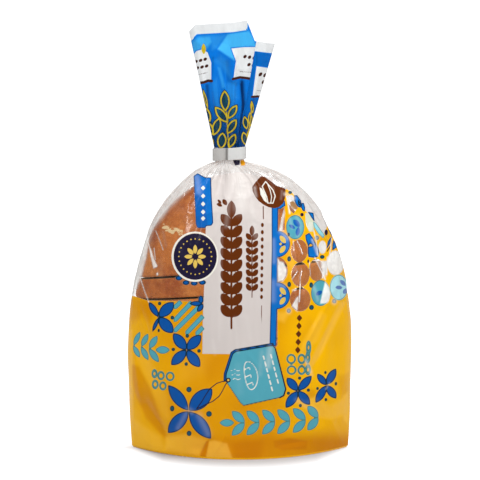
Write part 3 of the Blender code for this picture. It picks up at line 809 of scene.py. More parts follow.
# white glare: corners, softness, amount, and how mottled it is
glareAreas = [
    ([(149, 246), (151.2, 249.4), (154.2, 259), (158, 266.6), (153.4, 268.6), (150.4, 256)], 0.6, 0.92, 0.1),
    ([(296.5, 297.2), (298.8, 295.8), (297.4, 311.6), (291.6, 306)], 0.6, 0.88, 0.1),
    ([(325.1, 281.8), (329.1, 287), (330.4, 294.3), (328.6, 301.6), (324.4, 303.8), (320.2, 303),
      (321.6, 297)], 0.6, 0.93, 0.05),
    ([(284, 207.4), (285, 213), (282.6, 231), (278.4, 231), (280.6, 222)], 0.7, 0.85, 0.15),
    ([(286.2, 196.6), (290.8, 196.6), (293.6, 199.8), (290.4, 201.4), (287.2, 200.4)], 1.0, 0.7, 0.4),
    ([(156.2, 272.4), (158, 272.4), (158.4, 275.6), (156.6, 275.6)], 0.5, 0.9, 0.0),
    ([(277.6, 257.6), (280, 261), (283.4, 262), (285.4, 266), (287, 270), (286.4, 276), (283, 281),
      (277.6, 282)], 1.0, 0.98, 0.12),
    ([(291.6, 290.4), (296.1, 288.1), (296.5, 290.4), (293, 291.6)], 0.6, 0.8, 0.3),
    ([(316, 261), (327, 260.4), (327.6, 274), (324, 279), (321, 270)], 1.2, 0.72, 0.5),
    ([(291, 206), (294.4, 208.6), (293.8, 212.4), (291.6, 211)], 1.0, 0.4, 0.4),
    ([(146, 231), (149, 239), (146.4, 258), (143.4, 268), (141.4, 277), (136.6, 288), (132, 290), (135, 262),
      (140, 244)], 1.6, 0.72, 0.35),
]
# discs and windows that stand in bright glare: middle, radii, amount
glareDiscs = [(338.8, 287.4, 8.2, 12.0, 0.16), (335.6, 262.9, 8.4, 12.0, 0.95),
              (322.4, 247.2, 3.8, 6.2, 0.85), (310.4, 226, 2.6, 4.4, 0.4)]
breadOutline = [
    (212, 174), (192.7, 188), (171, 208.5), (160.6, 222), (155, 229), (150.5, 238), (142.5, 276),
    (137.8, 281), (133.8, 296), (131, 330), (131, 470), (322, 470), (324, 300), (321, 262), (312, 236),
    (300, 212), (284, 190), (268, 174),
]
leftEdgeHaze = [(150, 236), (142, 262), (137.4, 281)]


def filmHaze(u, v):
    # 1 outside the bread's outline and near the neck, a milky line down its left edge, fading in the yellow
    haze = 1 - ease(-4, 2.5, polygon(u, v, breadOutline))
    haze = np.maximum(haze, 0.9 * (1 - ease(166, 188, v)))
    haze = np.maximum(haze, 0.45 * softLine(u, v, leftEdgeHaze, 3.4))
    return haze * (1 - 0.8 * ease(298, 312, v))


def filmState(u, v):
    # haze, painted shade that deepens the ink over the bread too, and sheen: the strongest of light facets,
    # lines and glare
    # painted shade: deeper in the middle, where the film lies on the bread, and low down; painted light
    # towards both sides
    shadeAndBread = 0.50 + 0.16 * np.exp(-(((u - 222) / 34) ** 2)) + 0.30 * ease(428, 444, v) * ease(160, 240, u)
    shadeAndBread -= 0.40 * ease(272, 300, u) * (1 - ease(424, 444, v)) + 0.34 * (1 - ease(126, 170, u))
    sheen = np.zeros_like(u)
    for points, soft, amount in paintedShadeFacets:
        shadeAndBread += amount * softArea(u, v, points, soft)
    for points, soft, amount in paintedLightFacets:
        light = softArea(u, v, points, soft) * amount
        shadeAndBread -= light
        sheen = np.maximum(sheen, light * 0.10)
    for points, reach, amount in softSheen:
        sheen = np.maximum(sheen, softLine(u, v, points, reach) * amount)
    mottle = ease(0.30, 0.62, layered(noise, u / 2.6, v / 3.6, 0 * u, 3, 31))
    for points, soft, amount, uneven in glareAreas:
        sheen = np.maximum(sheen, softArea(u, v, points, soft) * amount * (1 - uneven * mottle))
    for cx, cy, rx, ry, amount in glareDiscs:
        inDisc = ease(-0.4, 0.4, disc(u, v, cx, cy, rx, ry))
        sheen = np.maximum(sheen, inDisc * amount * (1 - 0.25 * mottle))
    return {"haze": filmHaze(u, v), "shadeAndBread": shadeAndBread, "sheen": sheen}


class Graph:
    # the nodes of one material or group; a socket takes a number, a colour or another node's output
    def __init__(self, tree):
        self.nodes, self.links = tree.nodes, tree.links

    def feed(self, sockets, values):
        # links outputs, and sets numbers and colours on the sockets themselves
        for key, value in values.items():
            socket = sockets[key]
            if isinstance(value, bpy.types.NodeSocket):
                self.links.new(value, socket)
            elif isinstance(value, tuple):
                socket.default_value = (*value, 1)[: len(socket.default_value)]
            else:
                socket.default_value = value

    def add(self, kind, values=None, **settings):
        # a node with its settings and its inputs
        node = self.nodes.new("ShaderNode" + kind)
        for name, value in settings.items():
            setattr(node, name, value)
        self.feed(node.inputs, values or {})
        return node

    def calc(self, operation, *values, clamp=False):
        # a sum on numbers and outputs
        return self.add("Math", dict(enumerate(values)), operation=operation, use_clamp=clamp).outputs[0]

    def ramp(self, value, low, high, start=0.0, end=1.0, shape="LINEAR"):
        # start up to low, end from high on
        values = {"Value": value, "From Min": low, "From Max": high, "To Min": start, "To Max": end}
        return self.add("MapRange", values, interpolation_type=shape).outputs["Result"]

    def over(self, base, colour, mask):
        # a colour laid over a base where the mask is 1
        values = {"A": base, "B": colour, "Factor": mask}
        return self.add("Mix", values, data_type="RGBA").outputs["Result"]

    def coords(self):
        # places on the object itself
        return self.add("TexCoord").outputs["Object"]

    def cloud(self, vector, scale, detail, roughness=0.5):
        # soft noise of one size, with finer layers
        values = {"Vector": vector, "Scale": scale, "Detail": detail, "Roughness": roughness}
        return self.add("TexNoise", values).outputs["Fac"]

    def field(self, name):
        # a value kept on the mesh's points
        return self.add("Attribute", attribute_name=name).outputs["Fac"]

    def bump(self, height, strength, distance):
        # a normal tilted by a height
        values = {"Height": height, "Strength": strength, "Distance": distance}
        return self.add("Bump", values).outputs["Normal"]


def newMaterial(name):
    # a material with its graph and its shader's inputs
    material = bpy.data.materials.new(name)
    material.use_nodes = True
    return material, Graph(material.node_tree), material.node_tree.nodes["Principled BSDF"].inputs


def newGroup(name, inputs, outputs):
    # a node group of values, with what it is given and what it puts out
    tree = bpy.data.node_groups.new(name, "ShaderNodeTree")
    for key, value in inputs.items():
        socket = tree.interface.new_socket(key, in_out="INPUT", socket_type="NodeSocketFloat")
        socket.default_value = value
    for key in outputs:
        tree.interface.new_socket(key, in_out="OUTPUT", socket_type="NodeSocketFloat")
    entry, leave = tree.nodes.new("NodeGroupInput"), tree.nodes.new("NodeGroupOutput")
    return tree, Graph(tree), entry.outputs, leave.inputs


def inkEdgeGroup():
    # turns a distance, grown a little, into a mask with a soft edge, and a thin line just inside that edge
    given = {"Distance": 0.0, "Softness": 0.25, "Line": 0.6, "Grow": 0.0}
    tree, graph, value, result = newGroup("inkEdge", given, ("Mask", "Rim"))
    grown = graph.calc("ADD", value["Distance"], value["Grow"])
    outer = graph.calc("MULTIPLY", value["Softness"], -1)
    mask = graph.ramp(grown, outer, value["Softness"], shape="SMOOTHSTEP")
    inner = graph.calc("ADD", value["Line"], value["Softness"])
    rim = graph.ramp(grown, value["Line"], inner, 1.0, 0.0, "SMOOTHSTEP")
    graph.feed(result, {"Mask": mask, "Rim": graph.calc("MULTIPLY", mask, rim)})
    return tree


def crinkleGroup():
    # fine unevenness of thin film: soft waves, and on them the edges of long cells as streaks
    tree, graph, value, result = newGroup("filmCrinkle", {"Size": 1.0}, ("Height", "Streaks"))
    sizes = {0: graph.coords(), "Scale": value["Size"]}
    scaled = graph.add("VectorMath", sizes, operation="SCALE").outputs[0]
    waves = graph.cloud(scaled, 90, 3)
    stretch = {"Vector": scaled, "Scale": (1.0, 1.0, 0.4), "Rotation": (0.1, 0.35, 0)}
    long = graph.add("Mapping", stretch).outputs["Vector"]
    cells = graph.add("TexVoronoi", {"Vector": long, "Scale": 130}, feature="DISTANCE_TO_EDGE")
    sharp = graph.ramp(cells.outputs["Distance"], 0.0, 0.25, 1.0, 0.0)
    streaks = graph.calc("MULTIPLY", sharp, waves)
    graph.feed(result, {"Height": graph.calc("ADD", waves, streaks), "Streaks": streaks})
    return tree


printColours = {
    "clear": (0.72, 0.70, 0.675),
    "yellow": (0.94, 0.485, 0.0),
    # darker yellow for the painted shade, also used where the film lies on the bread
    "yellowDeep": (0.60, 0.20, 0.0),
    "panel": (0.62, 0.565, 0.54),
    "teal": (0.085, 0.37, 0.46),
    "tealRim": (0.06, 0.21, 0.20),
    "azure": (0.004, 0.165, 0.57),
    # darker azure for the painted shade
    "azureDeep": (0.004, 0.135, 0.49),
    "azureRim": (0.004, 0.05, 0.16),
    "blue": (0.004, 0.085, 0.355),
    "blueRim": (0.004, 0.030, 0.060),
    "petal": (0.006, 0.115, 0.44),
    "mint": (0.60, 0.64, 0.48),
    "tan": (0.40, 0.21, 0.085),
    # teal as it looks in glare: painted light
    "aqua": (0.30, 0.66, 0.74),
    "aquaRim": (0.12, 0.34, 0.36),
    "deep": (0.010, 0.085, 0.150),
    "deepRim": (0.010, 0.045, 0.050),
    "brown": (0.12, 0.026, 0.004),
    "navy": (0.014, 0.011, 0.036),
    "cream": (0.80, 0.78, 0.70),
    "tint": (0.72, 0.50, 0.10),
    "sheen": (0.90, 0.88, 0.84),
    "glint": (0.90, 0.87, 0.84),
}
tailColours = printColours | {
    "clear": (0.12, 0.40, 0.80),
    "deep": (0.009, 0.058, 0.095),
    "deepRim": (0.004, 0.03, 0.07),
    "azure": (0.002, 0.19, 0.74),
    # near-black azure for the painted shade in the tail's folds
    "azureDeep": (0.001, 0.030, 0.14),
    "azureRim": (0.002, 0.17, 0.66),
    "panel": (0.79, 0.81, 0.82),
    "navy": (0.004, 0.03, 0.09),
    "brown": (0.06, 0.018, 0.012),
    # light blue of the painted highlights on the tail's folds
    "sheen": (0.09, 0.62, 1.0),
    "tint": (0.66, 0.49, 0.02),
}

film = {
    "clearAlpha": 0.02,
    "edgeAlpha": 0.16,
    "edgeBlend": 0.35,
    "hazeAlpha": 0.50,
    "streakAlpha": 0.35,
    "cast": 0.12,  # of the alpha that shadows see
    "bump": 0.5,
    "bumpDistance": 0.0012,
    "tightBump": 0.16,  # where there is no haze
    "crinkleSize": 1.0,
    "mirror": 0.9,  # where the film is bare
    "hazeDulls": 0.85,
    "roughness": 0.2,
    "specular": 0.07,
    "panelPaler": 1.13,
}


def printedFilm(name, colours, backing):
    # inks laid over each other by their masks, sheen on top, and bare film that is seen through
    material, graph, shader = newMaterial(name)
    coords, haze, sheen = graph.coords(), graph.field("haze"), graph.field("sheen")

    def inkMask(ink):
        # an ink's mask and the rim inside it
        values = dict(zip(("Softness", "Line", "Grow"), inks[ink]), Distance=graph.field(ink))
        edge = graph.add("Group", values, node_tree=inkEdge)
        return edge.outputs["Mask"], edge.outputs["Rim"]

    # two inks deepen with the painted shade and where the film lies on the bread; the panel pales in upright
    # streaks of painted light
    uneven = graph.ramp(graph.cloud(coords, 28, 2), 0.35, 0.70, -0.14, 0.14)
    # the painted shade, made uneven by a random tone
    depth = graph.calc("ADD", graph.field("shadeAndBread"), uneven, clamp=True)
    # painted light: upright streaks where the panel takes a paler copy of its colour
    upright = graph.add("Mapping", {"Vector": coords, "Scale": (1.0, 0.2, 0.05)}).outputs["Vector"]
    lightStreaks = graph.ramp(graph.cloud(upright, 150, 1), 0.4, 0.75, 0.0, 0.5)
    pale = tuple(min(1.0, c * film["panelPaler"]) for c in colours["panel"])
    # each of these inks is mixed towards its darker copy by the painted shade
    fills = {ink: graph.over(colours[ink], colours[ink + "Deep"], depth) for ink in ("yellow", "azure")}
    fills["panel"] = graph.over(colours["panel"], pale, lightStreaks)

    colour, cover = colours["clear"], backing
    for ink in inks:
        if ink == "glint":
            colour = graph.over(colour, colours["sheen"], sheen)
        mask, rim = inkMask(ink)
        fill = fills.get(ink, colours[ink])
        if ink + "Rim" in colours:
            fill = graph.over(fill, colours[ink + "Rim"], rim)
        colour = graph.over(colour, fill, mask)
        cover = graph.calc("MAXIMUM", cover, mask)
    cover = graph.calc("MAXIMUM", cover, sheen, clamp=True)

    crinkle = graph.add("Group", {"Size": film["crinkleSize"]}, node_tree=filmCrinkle).outputs
    height = graph.calc("MULTIPLY", crinkle["Height"], graph.calc("ADD", haze, film["tightBump"]))
    normal = graph.bump(height, film["bump"], film["bumpDistance"])

    # bare film shows more from the side, in haze and along streaks, and fills what the ink leaves open
    facing = graph.add("LayerWeight", {"Blend": film["edgeBlend"], "Normal": normal}).outputs["Facing"]
    bare = graph.calc("MULTIPLY_ADD", facing, film["edgeAlpha"], film["clearAlpha"])
    bare = graph.calc("MULTIPLY_ADD", haze, film["hazeAlpha"], bare)
    streaks = graph.calc("MULTIPLY", crinkle["Streaks"], haze)
    bare = graph.calc("MULTIPLY_ADD", streaks, film["streakAlpha"], bare)
    alpha = graph.calc("MULTIPLY_ADD", bare, graph.calc("SUBTRACT", 1.0, cover), cover, clamp=True)
    # the inks are translucent, so part of the light goes through them to the bread
    seen = graph.add("LightPath").outputs["Is Camera Ray"]
    held = graph.calc("MULTIPLY_ADD", seen, 1 - film["cast"], film["cast"])
    dulled = graph.calc("MULTIPLY_ADD", haze, film["hazeDulls"], cover)
    graph.feed(shader, {
        "Base Color": colour,
        "Normal": normal,
        "Alpha": graph.calc("MULTIPLY", alpha, held),
        "Metallic": graph.calc("SUBTRACT", film["mirror"], dulled, clamp=True),
        "Roughness": film["roughness"],
        "Specular IOR Level": film["specular"],
    })
    return material


bread = {
    "crust": (0.50, 0.145, 0.021),
    "crustDark": (0.28, 0.050, 0.006),
    "crustPale": (0.66, 0.245, 0.055),
    "crumb": (0.78, 0.62, 0.38),
    "torn": (0.70, 0.50, 0.26),
    "darkTop": (0.112, 0.146, 0.42),  # from this height to this, by this much
    "paintedLightRight": (0.033, 0.042, 0.75),  # the same in x
    "bump": 0.8,
    "bumpDistance": 0.0011,
    "roughness": 0.55,
    "specular": 0.3,
}


def crustMaterial():
    # baked patches, specks and pits, darker on top, paler at the right as painted light, then the torn lip
    # and the crumb
    material, graph, shader = newMaterial("crust")
    coords = graph.coords()
    place = graph.add("SeparateXYZ", {"Vector": coords}).outputs
    topLow, topHigh, topShare = bread["darkTop"]
    rightLow, rightHigh, rightShare = bread["paintedLightRight"]
    colour = bread["crust"]
    for tone, mask in [
        ("crustDark", graph.ramp(graph.cloud(coords, 42, 4, 0.6), 0.44, 0.66, 0.0, 0.8)),
        ("crustPale", graph.ramp(graph.cloud(coords, 66, 5, 0.65), 0.50, 0.70, 0.0, 0.85)),
        ("crustPale", graph.ramp(graph.cloud(coords, 420, 3, 0.7), 0.52, 0.70, 0.0, 0.4)),
        ("crustDark", graph.ramp(graph.cloud(coords, 300, 4, 0.7), 0.56, 0.72, 0.0, 0.4)),
        ("crustDark", graph.ramp(place["Z"], topLow, topHigh, 0.0, topShare)),
        # painted light: paler towards the right side of the loaf
        ("crustPale", graph.ramp(place["X"], rightLow, rightHigh, 0.0, rightShare)),
        ("torn", graph.ramp(graph.field("torn"), 0.0, 0.9)),
        ("crumb", graph.ramp(graph.field("crumb"), 0.3, 0.8)),
    ]:
        colour = graph.over(colour, bread[tone], mask)
    wrinkles = graph.add("TexVoronoi", {"Vector": coords, "Scale": 190}, feature="SMOOTH_F1")
    height = graph.calc("ADD", wrinkles.outputs["Distance"], graph.cloud(coords, 320, 4, 0.65))
    graph.feed(shader, {
        "Base Color": colour,
        "Normal": graph.bump(height, bread["bump"], bread["bumpDistance"]),
        "Roughness": bread["roughness"],
        "Specular IOR Level": bread["specular"],
    })
    return material


# The closure band keeps its solid and takes a white plastic finish
band = {
    "shade": (0.52, 0.51, 0.49),
    "light": (0.70, 0.71, 0.70),
    "worn": (0.40, 0.39, 0.37),
    # dark grey for the painted shade in the gap at the seam
    "seam": (0.17, 0.16, 0.15),
    "seamX": -0.0070,
    "shadeEnds": (-0.0080, -0.0068),
    "bump": 0.2,
    "bumpDistance": 0.0003,
    "roughness": 0.38,
}


def bandMaterial():
    # greyer left of the seam as painted shade, worn in small spots, and painted shade along the seam at the
    # front
    material, graph, shader = newMaterial("bandPlastic")
    coords = graph.coords()
    place = graph.add("SeparateXYZ", {"Vector": coords}).outputs
    spots = graph.cloud(coords, 380, 3)
    colour = graph.over(band["shade"], band["light"], graph.ramp(place["X"], *band["shadeEnds"]))
    colour = graph.over(colour, band["worn"], graph.ramp(spots, 0.55, 0.75, 0.0, 0.3))
    offSeam = graph.calc("ABSOLUTE", graph.calc("SUBTRACT", place["X"], band["seamX"]))
    seam = graph.ramp(offSeam, 0.0004, 0.0010, 0.85, 0.0)
    atFront = graph.calc("LESS_THAN", place["Y"], 0.0)
    graph.feed(shader, {
        "Base Color": graph.over(colour, band["seam"], graph.calc("MULTIPLY", seam, atFront)),
        "Normal": graph.bump(spots, band["bump"], band["bumpDistance"]),
        "Roughness": band["roughness"],
    })
    return material


def meshFrom(name, points, faces, material, fields):
    # a smooth piece of the bag from its points and faces, with a value of each field on every point
    mesh = bpy.data.meshes.new(name)
    mesh.from_pydata(points.reshape(-1, 3), [], faces)
    mesh.shade_smooth()
    for key, values in fields.items():
        field = mesh.attributes.new(key, "FLOAT", "POINT")
        field.data.foreach_set("value", values.astype(np.float32).ravel())
    mesh.materials.append(material)
    piece = bpy.data.objects.new(name, mesh)
    bpy.context.scene.collection.objects.link(piece)
    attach(piece, "root")
    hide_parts("bag")


def gridFaces(columns, rows, closed=False):
    # quads of a grid whose points run row by row inside each column
    i = np.arange(columns if closed else columns - 1)[:, None]
    j = np.arange(rows - 1)[None, :]
    k = (i + 1) % columns
    return np.stack([i * rows + j, k * rows + j, k * rows + j + 1, i * rows + j + 1], axis=-1).reshape(-1, 4)


def rowOf(columns, rows, row):
    # one row's points all round a grid
    return (np.arange(columns) * rows + row).tolist()


def buildBody():
    # front and back halves of the body's grid, and the bottom's rings, which shrink in under the loaf
    points = bodyGrid()
    front, rows = bag["frontColumns"], points.shape[1]
    faceFront = points[: front + 1]
    u, v = frontView(faceFront)
    fields = frontPrint(u, v) | filmState(u, v)
    meshFrom("filmFront", faceFront, gridFaces(front + 1, rows), bodyFilm, fields)
    report("front film")
    faceBack = np.concatenate([points[front:], points[:1]])
    u, v = frontView(faceBack)
    fields = backPrint(u, v, faceBack[..., 0], faceBack[..., 2]) | filmState(u, v)
    fields["sheen"] *= 1 - ease(0.0, 0.008, faceBack[..., 1])  # the front's glare ends at the sides
    meshFrom("filmBack", faceBack, gridFaces(len(faceBack), rows), bodyFilm, fields)
    report("back film")
    edge = points[:, 0]
    shares = np.array([1.0, 0.985, 0.95, 0.7, 0.4, 0.12])
    heights = np.array([edge[:, 2].mean(), 0.0002, 0.0, 0.0, 0.0, 0.0])
    under = edge[:, None] * shares[None, :, None]
    under[..., 2] = heights
    under[:, 0] = edge
    faces = gridFaces(len(edge), len(shares), True)[:, ::-1].tolist()
    faces.append(rowOf(len(edge), len(shares), len(shares) - 1)[::-1])
    plain = dict.fromkeys(inks, farOutside) | {"yellow": 5.0, "haze": 0.0, "shadeAndBread": 0.1, "sheen": 0.0}
    fields = {name: np.full(under.shape[:2], value) for name, value in plain.items()}
    meshFrom("filmBottom", under, faces, bodyFilm, fields)
    report("bottom film")


# The tail: one long sheet folded to and fro, gathered at the neck
tail = {
    "columns": 430,
    "rows": 140,
    "rootHeight": 0.1585,
    "middle": -4.2,  # mm, as the path
    "halfSpan": 22.8,
    "halfStack": 0.0042,  # of the folded sheets, front to back
    "neckFit": 0.97,
    "neckSqueeze": 0.8,
    "flutes": 0.0011,
    "rim": 9.2,  # view units of pale film along the top edge
    "rimEnd": (247.2, 248.6),  # where it ends at the fold
    "foldEnd": 7,  # the path's points between which the front sheet and its folded ply end
    "frontEnd": 13,
}
tailEdge = [(-0.0270, 0.2215), (-0.0236, 0.2251), (-0.0147, 0.2256), (-0.0034, 0.2263), (0.0036, 0.2274),
            (0.0078, 0.2166), (0.0186, 0.2152)]

# the folded sheet from above at its top edge: x and y in mm, and how far its edge lies below the front one
tailPath = [
    (-26.9, 0.6, 0.0), (-24.5, -1.4, 0.0), (-14.0, -2.2, 0.0), (-3.0, -2.0, 0.0), (3.5, -1.6, 0.0),
    (9.0, -1.4, 0.0), (12.6, -1.6, 2.0), (11.8, -2.6, 2.0), (9.6, -2.9, 0.4), (8.2, -3.5, 0.0),
    (9.4, -4.0, 0.0), (14.0, -3.8, 0.0), (18.0, -2.6, 0.0), (18.5, -1.6, 0.3), (16.0, -0.6, 1.2),
    (4.0, 0.2, 1.5), (-12.0, 0.6, 1.4), (-19.0, 1.2, 1.2), (-19.4, 2.0, 1.0), (-10.0, 2.2, 1.4),
    (5.0, 1.8, 2.2), (11.0, 2.0, 2.6), (11.4, 2.9, 2.4), (2.0, 3.6, 1.8), (-14.0, 3.4, 1.2),
    (-25.0, 2.6, 1.0), (-26.9, 1.6, 0.4),
]

# flat facets pressed into the front sheet, as the sharp creases
tailFacets = [
    (217.7, 49, 235.3, 61, 9, 0.9), (227.4, 33.8, 217.7, 49, 7, -0.7), (242, 70, 240, 118, 5, -1.0),
    (217, 66, 224, 92, 4, 0.6), (205, 84, 213, 140, 4, -0.9), (236, 98, 236, 140, 3.5, 0.7),
    (228, 112, 226, 146, 3, -0.6), (194, 36, 204, 50, 6, 0.7), (266, 60, 258, 110, 5, -0.5),
]

# painted highlights on folded film and painted shade in the depth of a fold: view points, softness or reach,
# amount
tailHighlights = [
    ([(217.7, 49), (227.4, 34.4), (249, 31), (252, 36), (256.6, 47), (240, 47.6), (233, 52),
      (235.4, 61)], 1.4, 0.62),
    ([(192, 42), (199, 37), (210, 36.4), (212, 42), (203, 52), (193, 54)], 2.4, 0.5),
    ([(210, 36), (226, 35), (217, 48), (212, 50)], 2.4, 0.2),
    ([(217.4, 67), (220.4, 67.4), (225.4, 87), (222, 88)], 1.4, 0.26),
    ([(213.5, 61), (221, 56), (228, 62), (231, 78), (221, 68)], 3.0, 0.14),
    ([(212, 84), (217, 78), (221, 110), (217, 118)], 3.0, 0.12),
    ([(230, 92), (236, 88), (236, 122), (231, 124)], 3.0, 0.1),
    ([(225, 84), (236, 82), (238, 98), (228, 102)], 3.5, 0.16),
]
tailFoldShade = [
    ([(241.4, 84), (242.6, 98), (243.4, 112)], 1.5, 1.3),
    ([(242, 82), (243.5, 104), (241, 124), (238, 148)], 2.3, 1.0),
    ([(207, 86), (209, 112), (214, 142)], 2.0, 0.7), ([(225, 100), (229, 118), (229, 148)], 1.3, 0.55),
    ([(254, 98), (250, 118), (246, 146)], 2.2, 0.6), ([(219, 128), (222, 148)], 1.6, 0.6),
    ([(213, 58), (211, 82)], 1.4, 0.35), ([(227, 62), (229, 80), (236, 84)], 2.4, 0.3),
    ([(198, 90), (204, 112), (212, 146)], 1.8, 0.5), ([(232, 130), (241, 146)], 2.0, 0.7),
    ([(256.6, 50), (257, 78), (254.6, 98)], 1.2, 0.6), ([(210, 146), (246, 146)], 5, 0.55),
]

# labels on the front sheet and its folded ply: a pale patch, a brown foot, rows of grains, a thin line
tailLabels = {
    "sheet": [
        {
            "corners": [(191, 62), (192.6, 55), (196, 50.6), (202.4, 48.6), (208, 52), (211.8, 62.4),
                        (211.8, 81), (204, 82.4), (197.2, 84.4), (194, 74)],
            "foot": [(197, 84.8), (200.6, 82.8), (204, 82.3), (208, 80.7), (211.8, 81)],
            "footHalf": 1.35,
            "grains": [(196, 61.6), (200.6, 60.4), (205.2, 59.2), (197.4, 68), (202, 67), (206.6, 66)],
            "grain": (1.8, 1.2, 1.5),
            "thinLine": [(197.6, 74.8), (207.6, 72.4)],
        },
        {
            "corners": [(230.6, 48), (244, 46.6), (262, 46.4), (262, 79.4), (245, 78), (233, 79), (234, 70),
                        (235.4, 61)],
            "foot": [(233, 79), (240, 77.4), (246, 78), (256, 79.6), (262, 80.2)],
            "footHalf": 1.3,
            "grains": [(245, 56.6), (249.6, 57.2), (254.2, 57.8), (249, 64.6), (253.4, 65)],
            "grain": (1.6, 1.6, 1.5),
            "thinLine": [(240, 71.6), (256, 72.6)],
        },
    ],
    "ply": [
        {
            "corners": [(256, 65.6), (275, 68.4), (268, 97), (252, 97)],
            "foot": [(252, 96.8), (258, 96.4), (264, 98), (267, 98)],
            "footHalf": 1.1,
            "grains": [(260.4, 74.4), (265.2, 75.2), (263.6, 82)],
            "grain": (1.8, 1.9, 1.6),
            "thinLine": [(257, 90.4), (266, 91.2)],
        },
    ],
}
# outlined wheat ears, as leaves, with the half width of their outline and their stems
tailEars = {
    "sheet": [
        (225.4, 110.4, 224.6, 91.4, 4.0), (227.4, 122, 215.6, 107.6, 3.6), (228.4, 118, 236.4, 105.8, 3.0),
        (227.6, 133, 235.8, 120, 3.2), (221, 148, 222.6, 133.4, 4.0), (229, 147, 235, 134.6, 3.0),
        (213.8, 134.6, 219.4, 118.6, 3.6), (203, 107, 209.8, 121, 3.2), (206.4, 122, 213, 134.4, 2.6),
        (203.4, 91, 207.4, 107, 1.0), (212.6, 146, 208.6, 136, 2.2), (240.4, 148, 241.4, 136, 1.6),
    ],
    "ply": [
        (246.6, 128.6, 244.6, 117, 2.4), (250.8, 126, 250, 113, 1.9), (246.4, 145, 243.4, 132.6, 2.8),
        (248.6, 141, 249.8, 129.6, 2.0), (252.6, 112.6, 251.6, 101.6, 1.2),
    ],
}
earLine = {"sheet": 0.72, "ply": 0.6, "thin": 0.45}  # thin on leaves under 2 units wide
tailStems = {
    "sheet": [(226.6, 112), (227.2, 124), (228, 138), (230, 150)],
    "ply": [(252, 104), (250, 124), (246, 146)],
}
labelTip = (203.6, 43.4, 203.8, 54.4, 2.2)
# dark lines of painted shade in the lower folds
foldShadeLines = [[(211, 122), (215.4, 147)], [(224, 132), (226.2, 148)], [(234.6, 134), (236, 149)],
             [(241, 118), (240.4, 136)]]
# labels on the sheets behind, in mm along the sheet and view units below its edge
hindLabels = {"step": 15.0, "half": 3.4, "taper": 0.62, "top": 24, "bottom": 56, "footHalf": 1.1}


def tailGrid():
    # even steps along the folded path, softened, then drawn together in straight lines towards the neck
    path = np.array([*tailPath, tailPath[0]], float)
    length = np.concatenate([[0], np.cumsum(np.hypot(np.diff(path[:, 0]), np.diff(path[:, 1])))])
    at = np.linspace(0, length[-1], tail["columns"], endpoint=False)
    top = np.stack([np.interp(at, length, path[:, k]) for k in range(3)], axis=-1)
    kernel = np.hanning(7)
    kernel /= kernel.sum()
    for k in range(3):
        top[:, k] = np.convolve(np.concatenate([top[-3:, k], top[:, k], top[:3, k]]), kernel, "valid")
    share = np.linspace(0, 1, tail["rows"])[None, :]
    across = (top[:, 0] - tail["middle"]) / tail["halfSpan"]  # -1 at the left edge, 1 at the right
    topX, depth = top[:, 0] * 0.001, top[:, 1] * 0.001
    neckX = bag["neckShift"] + across * bag["width"]["neckHalf"] * tail["neckFit"]
    x = mix(neckX[:, None], topX[:, None], share)
    room = np.sqrt(np.clip(1 - across**2, 0.03, 1))
    neckY = np.clip(depth / tail["halfStack"], -1, 1) * bag["depth"]["neckHalf"] * tail["neckSqueeze"] * room
    y = mix(depth[:, None], neckY[:, None], (1 - share) ** 1.5)
    topZ = np.interp(topX, *zip(*tailEdge)) - top[:, 2] * 0.001
    z = mix(tail["rootHeight"], topZ[:, None], share)
    # flutes fan out from the neck and die away upwards
    flute = np.sin(across * 16 + 0.9 * np.sin(across * 5) + at / 9)[:, None]
    small = np.sin(across * 37 + at / 4)[:, None]
    grow = tail["flutes"] * ease(0.02, 0.10, share) * (1 - 0.82 * ease(0.25, 0.85, share))
    y = y + (flute * grow + small * grow * 0.4 * (1 - share)) * (0.55 + 0.45 * room[:, None])
    return np.stack([x, y, z], axis=-1), at, length


def tailSheet(u, v, part):
    # the labels, ears and stem of the front sheet or of its folded ply
    sheet = Print(u, v)
    for label in tailLabels[part]:
        sheet.patch("panel", label["corners"])
        sheet.line("brown", label["foot"], label["footHalf"])
        sheet.line("brown", label["thinLine"], 0.35)
        dx, dy, halfWidth = label["grain"]
        for x, y in label["grains"]:
            sheet.leaf("brown", x - dx, y + dy, x + dx, y - dy, halfWidth)
    for values in tailEars[part]:
        tips, line = [values[:2], values[2:4]], earLine["thin"] if values[-1] < 2 else earLine[part]
        sheet.put("tint", tips, 9, leafOutline, *values, line)
        sheet.put("navy", tips, 9, leafOutline, *values, 2.2 * line)
        sheet.put("deep", tips, 9, leaf, *values)
    sheet.line("tint", tailStems[part], 0.5)
    if part == "sheet":
        sheet.leaf("tint", *labelTip)
        # painted shade: dark lines in the folds
        for ends in foldShadeLines:
            sheet.line("navy", ends, 0.75)
    return sheet.fields


def tailPrint(u, v, at, front, fold):
    # azure under a pale rim that follows the top edge, then what each sheet carries
    fields = Print(u, v).fields
    below = v - v[:, -1:]
    rim = mix(tail["rim"], -4.0, ease(*tail["rimEnd"], u[:, -1:]) * (front & ~fold))
    fields["azure"] = below - rim
    fields["panel"] = np.where(below < rim + 0.6, 2.0, farOutside)
    for part, where in (("sheet", front & ~fold), ("ply", front & fold)):
        for ink, field in tailSheet(u, v, part).items():
            fields[ink] = np.where(where, np.maximum(fields[ink], field), fields[ink])
    behind = ~front & (v < 200)
    offMiddle = np.abs((at[:, None] / hindLabels["step"]) % 1 - 0.5)
    label = hindLabels["half"] - offMiddle * hindLabels["step"] * hindLabels["taper"]
    inLabel = np.minimum(label, np.minimum(below - hindLabels["top"], hindLabels["bottom"] - below))
    foot = np.minimum(label, hindLabels["footHalf"] - np.abs(below - hindLabels["bottom"]))
    for ink, field in (("panel", inLabel), ("brown", foot)):
        fields[ink] = np.where(behind, np.maximum(fields[ink], field), fields[ink])
    aroundLabels = np.where(fields["panel"] > -3, 0.3 - fields["panel"], -farOutside)
    fields["azure"] = np.minimum(np.minimum(fields["azure"], aroundLabels), 1.0)
    return fields


